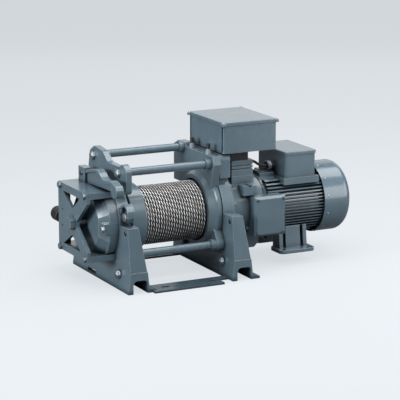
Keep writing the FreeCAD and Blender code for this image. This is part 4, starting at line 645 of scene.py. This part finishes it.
@dataclass
class FinishShelf:
    """All finishes of the winch, one material for each slot."""

    paint: Colour = (0.090, 0.138, 0.171)
    materials: dict[Slot, bpy.types.Material] = field(default_factory=dict)

    def stock(self) -> None:
        """Builds every finish."""
        finishes = {
            Slot.CASTING: PaintFinish("paint_on_casting", self.paint, roughness=0.34, grain=420.0,
                                      grain_height=0.12 * MM, edge_radius=3.0 * MM),
            Slot.SHEET: PaintFinish("paint_on_sheet", self.paint, roughness=0.28, grain=600.0,
                                    grain_height=0.02 * MM),
            Slot.MOTOR: PaintFinish("paint_on_die_casting", self.paint, roughness=0.30, grain=500.0,
                                    grain_height=0.04 * MM),
            Slot.BRIGHT: SteelFinish("zinc_plated_steel", (0.40, 0.45, 0.49), roughness=0.46),
            Slot.MACHINED: SteelFinish("oiled_dark_steel", (0.20, 0.22, 0.24), roughness=0.32,
                                       stretch=(6.0, 1.0, 1.0)),
            Slot.ROPE: RopeFinish("oiled_rope_wire", light=(1.0, 1.0, 1.0), gap_shade=(0.004, 0.004, 0.005),
                                  groove=83.6 * MM, crest=85.7 * MM),
            Slot.RUBBER: PlasticFinish("black_rubber", (0.014, 0.016, 0.018), roughness=0.6, grain=900.0),
            Slot.PLASTIC: PlasticFinish("brown_black_plastic", (0.016, 0.015, 0.015), roughness=0.40),
            Slot.PALE: PlasticFinish("pale_plastic", (0.13, 0.165, 0.185), roughness=0.45),
        }
        self.materials = {slot: finish.build() for slot, finish in finishes.items()}

    def dress_nodes(self) -> None:
        """Gives each CAD node the finish of its record slot."""
        slots = {item["node"]: Slot(item["material_slot"]) for item in FRAME["record"]["subparts"]}
        for name, node in FRAME["nodes"].items():
            node.data.materials.clear()
            node.data.materials.append(self.materials[slots[name]])
        LOG.info("finishes on %d nodes", len(slots))


SHELF = FinishShelf()


def put_in_scene(name: str, data: bpy.types.ID) -> bpy.types.Object:
    """A new object in the scene.

    Args:
        name: name of the object.
        data: its mesh, curve, lamp or camera.

    Returns:
        The object.
    """
    thing = bpy.data.objects.new(name, data)
    bpy.context.scene.collection.objects.link(thing)
    return thing


def make_piece(name: str, surface: Surface, slot: Slot, body: Body = Body.FRAME,
               sharp: float = 35.0) -> bpy.types.Object:
    """Puts a surface into a mesh object that rides on a body.

    Args:
        name: name of the piece.
        surface: points and quads in the winch's frame.
        slot: finish of the piece.
        body: body that it moves with.
        sharp: angle in degrees above which an edge stays sharp.

    Returns:
        The new object.
    """
    mesh = bpy.data.meshes.new(name)
    mesh.from_pydata(surface.points.tolist(), [], surface.faces.tolist())
    if surface.uv is not None:
        layer = mesh.uv_layers.new(name="along_strand")
        corners = np.empty(len(mesh.loops), np.int32)
        mesh.loops.foreach_get("vertex_index", corners)
        layer.data.foreach_set("uv", surface.uv[corners].astype(np.float32).reshape(-1))
    work = bmesh.new()
    work.from_mesh(mesh)
    bmesh.ops.remove_doubles(work, verts=work.verts, dist=WELD_DISTANCE)
    bmesh.ops.recalc_face_normals(work, faces=work.faces)
    work.to_mesh(mesh)
    work.free()
    mesh.polygons.foreach_set("use_smooth", np.ones(len(mesh.polygons), bool))
    mesh.set_sharp_from_angle(angle=math.radians(sharp))
    mesh.materials.append(SHELF.materials[slot])
    piece = put_in_scene(name, mesh)
    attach(piece, body.value)
    LOG.info("%s: %d faces", name, len(mesh.polygons))
    return piece


# Sub-assemblies


@dataclass
class MotorLead:
    """Short lead from the box support down into the terminal box's gland, with its grommet and the gland's coil."""

    route: tuple[Place, ...] = ((267 * MM, -12 * MM, 306 * MM), (290 * MM, -12 * MM, 306 * MM),
                                (320 * MM, -12 * MM, 284 * MM), (342.5 * MM, -12 * MM, 284 * MM),
                                (366.5 * MM, -12 * MM, 284 * MM))
    diameter: float = 8 * MM
    length: float = 105 * MM
    coil_start: float = 338.5 * MM
    coil_length: float = 12 * MM
    coil_radius: float = 12 * MM
    coil_wire: float = 2 * MM
    coil_turns: float = 3.0

    def lead(self) -> None:
        """The lead itself: a round section along the smooth curve that the route's points pull."""
        curve = bpy.data.curves.new("motor_lead", "CURVE")
        curve.dimensions = "3D"
        spline = curve.splines.new("NURBS")
        spline.points.add(len(self.route) - 1)
        places = np.concatenate((np.array(self.route), np.ones((len(self.route), 1))), axis=1)
        spline.points.foreach_set("co", places.astype(np.float32).reshape(-1))
        spline.order_u = 3
        spline.use_endpoint_u = True
        curve.resolution_u = 16
        curve.bevel_depth = self.diameter / 2
        curve.bevel_resolution = 5
        curve.use_fill_caps = True
        curve.materials.append(SHELF.materials[Slot.RUBBER])
        piece = put_in_scene("motor_lead", curve)
        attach(piece, Body.FRAME.value)
        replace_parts(piece, "motor_cable")

    def fittings(self) -> None:
        """The grommet on the support's side and the bright coil round the gland's mouth."""
        radius = self.diameter / 2
        collar = lathe([(0, radius), (0, 8 * MM), (1.5 * MM, 8 * MM), (2.5 * MM, 6.6 * MM), (5 * MM, 5.2 * MM),
                        (5 * MM, radius), (0, radius)], steps=36)
        make_piece("lead_grommet", collar.placed(Facing.RIGHT, self.route[0]), Slot.RUBBER)
        spring = coil(self.coil_radius, self.coil_wire, self.coil_length, self.coil_turns)
        spring = spring.placed(Facing.RIGHT, (self.coil_start, *self.route[-1][1:]))
        make_piece("gland_coil", spring, Slot.BRIGHT, sharp=ROUND_WIRE_SHARP)

    def build(self) -> None:
        """Lead, grommet and coil."""
        self.lead()
        self.fittings()


@dataclass
class WoundRope:
    """Four-strand wire rope in one layer on the barrel, with a clamp over the turns at each end."""

    left: float = -87 * MM
    turns: int = 24
    diameter: float = 8 * MM
    barrel_radius: float = 78 * MM
    strands: int = 4
    lay: float = 56 * MM
    steps_per_turn: int = 120
    sides: int = 8
    start_angle: float = -0.9
    strand_uv_shift: float = 3.7
    clamp_half: float = 7 * MM
    clamp_thickness: float = 2.5 * MM
    clamp_spread: float = 0.14

    def centre_line(self) -> tuple[np.ndarray, np.ndarray]:
        """The helix that the rope's centre follows: one rope diameter along X for each turn.

        Returns:
            The angle of each step about the drum axis, and the X of each step.
        """
        rounds = self.turns - 1
        along = np.linspace(0, rounds, rounds * self.steps_per_turn + 1)
        return self.start_angle + along * 2 * np.pi, self.left + self.diameter * (along + 0.5)

    def strand(self, number: int) -> Surface:
        """One strand: a circle carried round the rope's centre as that is carried round the drum.

        Args:
            number: which strand it is.

        Returns:
            The strand as a closed tube.
        """
        angle, x = self.centre_line()
        coil_radius = self.barrel_radius + self.diameter / 2
        along = (angle - self.start_angle) * coil_radius
        side = full_turn(self.sides)
        lean = math.sin(math.pi / self.strands)
        thick = np.full(len(x), self.diameter / 2 * lean / (1 + lean))
        offset = self.diameter / 2 - thick[0]
        thick[[0, -1]] = 0
        twist = 2 * np.pi * (along / self.lay + number / self.strands)
        ring = side[None] + twist[:, None]
        radial = coil_radius + (offset * np.cos(twist))[:, None] + thick[:, None] * np.cos(ring)
        axial = x[:, None] + (offset * np.sin(twist))[:, None] + thick[:, None] * np.sin(ring)
        u = np.broadcast_to(along[:, None] / self.lay, radial.shape)
        v = np.broadcast_to(side[None] / (2 * np.pi) + number * self.strand_uv_shift, radial.shape)
        return grid_surface(about_axis(axial, radial, angle), True, np.stack((u, v), -1))

    def clamp(self, right: bool) -> tuple[Surface, Surface]:
        """A curved clamp plate over the two rows at one end, with its screw.

        Args:
            right: whether it is the end by the motor.

        Returns:
            The plate and the screw.
        """
        outer = self.barrel_radius + self.diameter
        middle = self.left + (self.turns - 1 if right else 1) * self.diameter
        half, thickness = self.clamp_half, self.clamp_thickness
        shoulder, crown = thickness * 0.7, half * 0.9
        profile = np.array([(-half, 0), (-half, shoulder), (-crown, thickness), (crown, thickness),
                            (half, shoulder), (half, 0)])
        angle = np.linspace(-self.clamp_spread, self.clamp_spread, num=17)
        angle = np.concatenate((angle[:1], angle, angle[-1:]))
        lift = np.repeat(profile[None, :, 1], len(angle), axis=0)
        lift[[0, -1]] = 0
        reach = outer + lift
        x = np.broadcast_to(middle + profile[None, :, 0], reach.shape)
        plate = grid_surface(about_axis(x, reach, angle), True)
        seat = (middle, outer + thickness - 0.2 * MM, AXIS_Z)
        screw = socket_screw(radius=4 * MM, height=2.6 * MM, across=4 * MM).placed(Facing.BACK, seat)
        return plate.turned_about_axis(self.start_angle), screw.turned_about_axis(self.start_angle)

    def build(self) -> None:
        """The strands and the two clamps."""
        whole = joined([self.strand(number) for number in range(self.strands)])
        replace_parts(make_piece("wound_rope", whole, Slot.ROPE, Body.DRUM, sharp=ROUND_WIRE_SHARP), "wire_rope")
        plates, screws = zip(self.clamp(False), self.clamp(True))
        make_piece("rope_clamps", joined(list(plates)), Slot.MACHINED, Body.DRUM)
        make_piece("rope_clamp_screws", joined(list(screws)), Slot.BRIGHT, Body.DRUM)


@dataclass
class Fasteners:
    """Hexagon bolts and nuts that hold the castings and covers together.

    A head or nut is given by its width across flats and its height with its washer, a thread end by its radius and
    its height above the seat.
    """

    small_head: Pair = (17 * MM, 7 * MM)
    side_head: Pair = (24 * MM, 10 * MM)
    flange_head: Pair = (13 * MM, 5.3 * MM)
    foot_nut: Pair = (22 * MM, 8.4 * MM)
    foot_end: Pair = (7 * MM, 10 * MM)
    rod_nut: Pair = (24 * MM, 8.4 * MM)
    rod_end: Pair = (9.1 * MM, 10.4 * MM)
    thread_pitch: float = 1.5 * MM
    cage_face: float = -274 * MM
    cage_bolts: tuple[Pair, ...] = ((-82 * MM, 86.5 * MM), (92 * MM, 86.5 * MM), (-82 * MM, 266.5 * MM),
                                    (92 * MM, 266.5 * MM))
    cover_bolts: tuple[Place, ...] = ((-232 * MM, -112 * MM, 174 * MM), (-232 * MM, 112 * MM, 134 * MM))
    side_bolt: Place = (-170 * MM, -136 * MM, 207 * MM)
    foot_left: Pair = (-191.5 * MM, 134.5 * MM)
    foot_right: Pair = (-130.5 * MM, 195.5 * MM)
    foot_y: float = 123 * MM
    foot_z: float = 44 * MM
    top_rods: tuple[Place, ...] = ((-170 * MM, -82 * MM, 322 * MM), (-170 * MM, 90 * MM, 343 * MM))
    low_rods: tuple[Place, ...] = ((159 * MM, -116 * MM, 93 * MM), (159 * MM, 116 * MM, 93 * MM))
    flange_face: float = 183 * MM
    flange_circle: float = 105 * MM
    flange_bolts: int = 12
    flange_start: float = 15.0
    brake_box_bolts: tuple[Place, ...] = ((239 * MM, -82 * MM, 120 * MM), (239 * MM, -82 * MM, 162 * MM),
                                          (239 * MM, -82 * MM, 204 * MM))
    leg_faces: Pair = (-187 * MM, 139 * MM)
    leg_hole_y: float = 154 * MM
    leg_hole_z: float = 166 * MM
    plug_depth: float = 6.5 * MM

    def bolt(self, size: Pair, facing: Facing, at: Place) -> Surface:
        """A hexagon head on its washer.

        Args:
            size: width across flats, and height.
            facing: way that the head looks.
            at: centre of the seat.

        Returns:
            Head and washer in place.
        """
        across, height = size
        thickness = height * 0.18
        ring = washer(inner=across * 0.3, outer=across * 0.62, thickness=thickness)
        head = hex_head(across, height - thickness).lifted(thickness)
        return joined([ring.placed(facing, at), head.placed(facing, at)])

    def stud_end(self, size: Pair, facing: Facing, at: Place) -> Surface:
        """The bright threaded end that fills a nut and shows in its crown, by radius and height above the seat."""
        return threaded_stud(*size, self.thread_pitch).placed(facing, at)

    def cage_and_cover(self) -> None:
        """Painted heads in the cage's corners, and bright heads on the cover and the side lug."""
        heads = [self.bolt(self.small_head, Facing.LEFT, at) for at in self.cover_bolts]
        heads.append(self.bolt(self.side_head, Facing.LEFT, self.side_bolt))
        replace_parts(make_piece("cover_bolts", joined(heads), Slot.BRIGHT), "hexagon_bolts")
        corners = [self.bolt(self.small_head, Facing.LEFT, (self.cage_face, *at)) for at in self.cage_bolts]
        make_piece("cage_bolts", joined(corners), Slot.SHEET)

    def feet(self) -> None:
        """Nuts with thread ends on both sides of each pedestal's foot."""
        places = [(Facing.LEFT, x) for x in self.foot_left] + [(Facing.RIGHT, x) for x in self.foot_right]
        seats = [(facing, (x, y, self.foot_z)) for facing, x in places for y in (-self.foot_y, self.foot_y)]
        nuts = [self.bolt(self.foot_nut, *seat) for seat in seats]
        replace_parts(make_piece("foot_cross_bolts", joined(nuts), Slot.BRIGHT), "foot_bolts")
        ends = [self.stud_end(self.foot_end, *seat) for seat in seats]
        make_piece("foot_bolt_ends", joined(ends), Slot.BRIGHT)

    def rods(self) -> None:
        """Rod nuts, with thread ends that cover the flush ends of the rods."""
        seats = [(Facing.LEFT, at) for at in self.top_rods] + [(Facing.RIGHT, at) for at in self.low_rods]
        nuts = [hex_head(*self.rod_nut).placed(*seat) for seat in seats]
        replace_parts(make_piece("rod_nuts", joined(nuts), Slot.BRIGHT), "tie_rod_nuts")
        ends = [self.stud_end(self.rod_end, *seat) for seat in seats]
        make_piece("rod_ends", joined(ends), Slot.BRIGHT)

    def housing(self) -> None:
        """Painted heads round the gear housing's flange and on the brake box's side."""
        first = self.bolt(self.flange_head, Facing.RIGHT, (self.flange_face, self.flange_circle, AXIS_Z))
        heads = ring_of(first, self.flange_bolts, self.flange_start)
        heads += [self.bolt(self.flange_head, Facing.LEFT, at) for at in self.brake_box_bolts]
        make_piece("housing_bolts", joined(heads), Slot.CASTING)

    def legs(self) -> None:
        """Socket screws sunk in the holes of the four legs."""
        plug = socket_screw(radius=7.7 * MM, height=5 * MM, across=8 * MM)
        seats = [(face + self.plug_depth, y, self.leg_hole_z) for face in self.leg_faces
                 for y in (-self.leg_hole_y, self.leg_hole_y)]
        plugs = [plug.placed(Facing.LEFT, seat) for seat in seats]
        make_piece("leg_plugs", joined(plugs), Slot.MACHINED)

    def build(self) -> None:
        """Every bolt and nut."""
        self.cage_and_cover()
        self.feet()
        self.rods()
        self.housing()
        self.legs()


@dataclass
class LidScrews:
    """Screws in the corners of the three box lids, in the saddle bracket and round the fan cowl."""

    head_radius: float = 4.4 * MM
    head_height: float = 3.2 * MM
    socket: float = 3.6 * MM
    ear_inset: float = 8 * MM
    lid_inset: float = 9 * MM
    saddle_screw: Place = (-218 * MM, 67 * MM, 300 * MM)
    cowl_inset: float = 14 * MM
    cowl_sunk: float = 0.3 * MM
    cowl_screws: int = 12
    cowl_start: float = -11.0

    def corner_screws(self, low: Vector, high: Vector, inset: float, facing: Facing,
                      level: float) -> list[Surface]:
        """Four screws in the corners of a level or upright face.

        Args:
            low: lowest corner, in X and Y for a lid that looks up, in X and Z for one that looks to the front.
            high: highest corner.
            inset: distance from each edge.
            facing: way that the screws look.
            level: Z of a lid that looks up, Y of one that looks to the front.

        Returns:
            The four heads.
        """
        head = socket_screw(self.head_radius, self.head_height, self.socket)
        heads = []
        for across in (low[0] + inset, high[0] - inset):
            for deep in (low[1] + inset, high[1] - inset):
                at = (across, deep, level) if facing is Facing.UP else (across, level, deep)
                heads.append(head.placed(facing, at))
        return heads

    def lids(self) -> None:
        """Bright screws on the upper lids, dark ones on the brake box."""
        heads = []
        for lid, inset, sunk in (("control_box_lid", self.ear_inset, self.head_height),
                                 ("terminal_box_lid", self.lid_inset, self.head_height * 0.9)):
            low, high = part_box(lid)
            heads += self.corner_screws(low.xy, high.xy, inset, Facing.UP, high.z - sunk)
        make_piece("lid_screws", joined(heads), Slot.BRIGHT)
        low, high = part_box("brake_box_lid")
        heads = self.corner_screws(low.xz, high.xz, self.lid_inset, Facing.FRONT, low.y + 1 * MM)
        saddle_head = socket_screw(radius=7 * MM, height=4 * MM, across=6 * MM)
        heads.append(saddle_head.placed(Facing.LEFT, self.saddle_screw))
        make_piece("brake_box_screws", joined(heads), Slot.MACHINED)

    def cowl(self) -> None:
        """Small round heads about the cowl's rim."""
        low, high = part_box("fan_cowl")
        seat = (low.x + self.cowl_inset, self.cowl_sunk - (high.z - low.z) / 2, AXIS_Z)
        first = domed_head(radius=3.2 * MM, height=1.6 * MM).placed(Facing.FRONT, seat)
        heads = ring_of(first, self.cowl_screws, self.cowl_start)
        make_piece("cowl_screws", joined(heads), Slot.BRIGHT)

    def build(self) -> None:
        """Screws on the boxes, the saddle and the cowl."""
        self.lids()
        self.cowl()


@dataclass
class SwitchKnob:
    """Fluted knob that sets the limit switch, with a pale pointer on its end."""

    axis_x: float = -258 * MM
    axis_z: float = 169 * MM
    inner_end: float = 76 * MM
    seat: float = 107.05 * MM
    neck: float = 115.05 * MM
    tip: float = 159.05 * MM
    spindle_radius: float = 6 * MM
    neck_radius: float = 12.9 * MM
    radius: float = 21.5 * MM
    crown_radius: float = 5 * MM
    dish_depth: float = 0.6 * MM
    flutes: int = 22
    flute_depth: float = 1.3 * MM
    pointer_out: float = 11 * MM
    pointer_half: Pair = (6.5 * MM, 1.2 * MM)

    def grip(self) -> Surface:
        """The knob: a turned profile whose grip is cut by flutes, each a raised cosine to the sixth power.

        Returns:
            The knob about its own axis, from its inner end.
        """
        curve = np.linspace(0, np.pi / 2, num=8)
        soft, floor = self.crown_radius, self.tip - self.dish_depth
        crown = [(self.tip - soft + soft * s, self.radius - soft + soft * c, c)
                 for s, c in zip(np.sin(curve), np.cos(curve))]
        rows = [(self.inner_end, 0, 0), (self.inner_end, self.spindle_radius, 0), (self.seat, self.spindle_radius, 0),
                (self.seat, self.neck_radius, 0), (self.neck, self.neck_radius, 0),
                (self.neck, self.radius - 2 * MM, 0), (self.neck + 1.5 * MM, self.radius, 0.3), *crown,
                (floor, self.radius * 0.55, 0), (floor, 0, 0)]
        height, reach, cut = np.array(rows, float).T
        angle = full_turn(steps=self.flutes * 10)
        flute = (0.5 + 0.5 * np.cos(self.flutes * angle)) ** 6
        radius = reach[:, None] - self.flute_depth * cut[:, None] * flute[None]
        return spun(radius, height - self.inner_end, angle)

    def pointer(self) -> Surface:
        """A low bar from the middle of the knob's end to its rim: a rectangle drawn in at its crown.

        Returns:
            The bar about the knob's own axis, from its inner end.
        """
        half_x, half_y = self.pointer_half
        corners = np.array(((half_x, half_y), (-half_x, half_y), (-half_x, -half_y), (half_x, -half_y)))
        below_tip = np.array((0.8, 0.8, 0.2, 0.0, 0.0)) * MM
        scale = np.array((0.0, 1.0, 1.0, 0.85, 0.0))
        points = np.empty((len(scale), len(corners), 3))
        points[..., :2] = scale[:, None, None] * corners[None]
        points[..., 0] += self.pointer_out
        points[..., 2] = (self.tip - self.inner_end - below_tip)[:, None]
        return grid_surface(points, True)

    def build(self) -> None:
        """Knob and pointer on their own body."""
        at = (self.axis_x, self.inner_end, self.axis_z)
        grip = make_piece("fluted_knob", self.grip().placed(Facing.BACK, at), Slot.PLASTIC, Body.KNOB)
        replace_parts(grip, "limit_switch_knob")
        make_piece("knob_pointer", self.pointer().placed(Facing.BACK, at), Slot.PALE, Body.KNOB)


# Studio


def stand(thing: bpy.types.Object, at: Vector, aim: Vector) -> None:
    """Stands a lamp or a camera at a point and turns it to another.

    Args:
        thing: the lamp or camera.
        at: where it stands.
        aim: what it looks at.
    """
    thing.location = at
    thing.rotation_mode = "QUATERNION"
    thing.rotation_quaternion = (aim - at).to_track_quat("-Z", "Y")


def way_back(azimuth: float, elevation: float) -> Vector:
    """The direction from a target to a viewer at that azimuth and elevation in degrees."""
    a, e = math.radians(azimuth), math.radians(elevation)
    return Vector((math.sin(a) * math.cos(e), -math.cos(a) * math.cos(e), math.sin(e)))


@dataclass(frozen=True)
class Softbox:
    """A rectangular soft lamp that the camera doesn't see. A glow of 1 makes its face white."""

    name: str
    at: Vector
    aim: Vector
    size: Pair
    glow: float

    def build(self) -> None:
        """Hangs the lamp."""
        light = bpy.data.lights.new(self.name, "AREA")
        light.shape = "RECTANGLE"
        light.size, light.size_y = self.size
        light.energy = self.glow * math.pi * self.size[0] * self.size[1]
        lamp = put_in_scene(self.name, light)
        stand(lamp, self.at, self.aim)
        lamp.visible_camera = False


@dataclass
class Studio:
    """Pale floor, soft light and the camera of the photograph."""

    azimuth: float = -26.80
    elevation: float = 12.73
    distance: float = 5.53366
    target: Place = (0.126, 0.0, 0.19894)
    focal_pixels: float = 1903.03
    image_pixels: float = 400.0
    floor_reach: float = 30.0
    floor_pale: Colour = (0.76, 0.80, 0.835)
    floor_glow: float = 0.82
    floor_seen: Colour = (0.12, 0.125, 0.12875)
    floor_bounce: Colour = (0.1152, 0.12, 0.1248)
    world_tint: Colour = (0.92, 0.96, 1.0)
    world_glow: float = 0.10

    def floor(self) -> None:
        """A wide level floor."""
        reach = np.linspace(-self.floor_reach, self.floor_reach, 3)
        grid = np.stack(np.meshgrid(reach, reach, [0.0], indexing="ij"), -1)[:, :, 0]
        surface = grid_surface(grid, False)
        mesh = bpy.data.meshes.new("studio_floor")
        mesh.from_pydata(surface.points.tolist(), [], surface.faces[:, ::-1].tolist())
        floor = put_in_scene("studio_floor", mesh)
        mesh.materials.append(self.floor_material())

    def floor_material(self) -> bpy.types.Material:
        """Matt floor that is pale to the camera, with a weak shadow, and bounces less light.

        Returns:
            The material.
        """
        bench = ShaderBench("studio_floor")
        bench.fix(Roughness=0.9, Specular_IOR_Level=0.0, Emission_Color=(*self.floor_pale, 1.0))
        seen = bench.add("LightPath", {}, {}).outputs["Is Camera Ray"]
        bench.feed("Emission Strength", bench.span(seen, 0.0, 1.0, high=self.floor_glow))
        bench.feed("Base Color", bench.ramp(seen, [(0.0, self.floor_bounce), (1.0, self.floor_seen)]))
        return bench.material

    def world(self) -> None:
        """Even pale light from all round."""
        world = bpy.data.worlds.new("studio_world")
        world.use_nodes = True
        back = world.node_tree.nodes["Background"]
        back.inputs["Color"].default_value = (*self.world_tint, 1.0)
        back.inputs["Strength"].default_value = self.world_glow
        bpy.context.scene.world = world

    def lamps(self) -> list[Softbox]:
        """A broad lamp above, one from the left, the front and the back, and one by the motor.

        Returns:
            The lamps, not yet hung.
        """
        middle, motor, below = Vector((0.13, 0.0, 0.22)), Vector((0.4, -0.1, 0.25)), Vector((0.7, -0.1, 0.0))
        left = middle + way_back(-82.0, 14.0) * 4.0
        front = middle + way_back(0.0, 42.0) * 4.2
        back = middle + way_back(self.azimuth + 180, 22.0) * 4.2
        return [Softbox("overhead_softbox", Vector((0.7, -0.1, 2.5)), below, size=(4.5, 1.6), glow=3.8),
                Softbox("left_softbox", left, middle, size=(2.0, 1.0), glow=23.0),
                Softbox("front_softbox", front, middle, size=(3.0, 1.8), glow=6.6),
                Softbox("back_softbox", back, middle, size=(6.0, 2.6), glow=0.66),
                Softbox("right_softbox", Vector((1.40, -0.95, 0.55)), motor, size=(1.2, 0.8), glow=3.6)]

    def camera(self) -> None:
        """A long lens at the photograph's place."""
        data = bpy.data.cameras.new("studio_camera")
        data.sensor_width = 36.0
        data.lens = self.focal_pixels / self.image_pixels * data.sensor_width
        data.clip_end = 100.0
        camera = put_in_scene("studio_camera", data)
        target = Vector(self.target)
        stand(camera, target + way_back(self.azimuth, self.elevation) * self.distance, target)
        bpy.context.scene.camera = camera

    def build(self) -> None:
        """Sets up the studio."""
        bpy.context.scene.view_settings.view_transform = "Standard"
        self.camera()
        self.floor()
        self.world()
        for lamp in self.lamps():
            lamp.build()


def main() -> None:
    """Builds the studio, the finishes and every fine piece in order."""
    logging.basicConfig(level=logging.INFO, format="%(name)s: %(message)s")
    Studio().build()
    SHELF.stock()
    SHELF.dress_nodes()
    MotorLead().build()
    WoundRope().build()
    Fasteners().build()
    LidScrews().build()
    SwitchKnob().build()


if __name__ == "__main__":
    main()
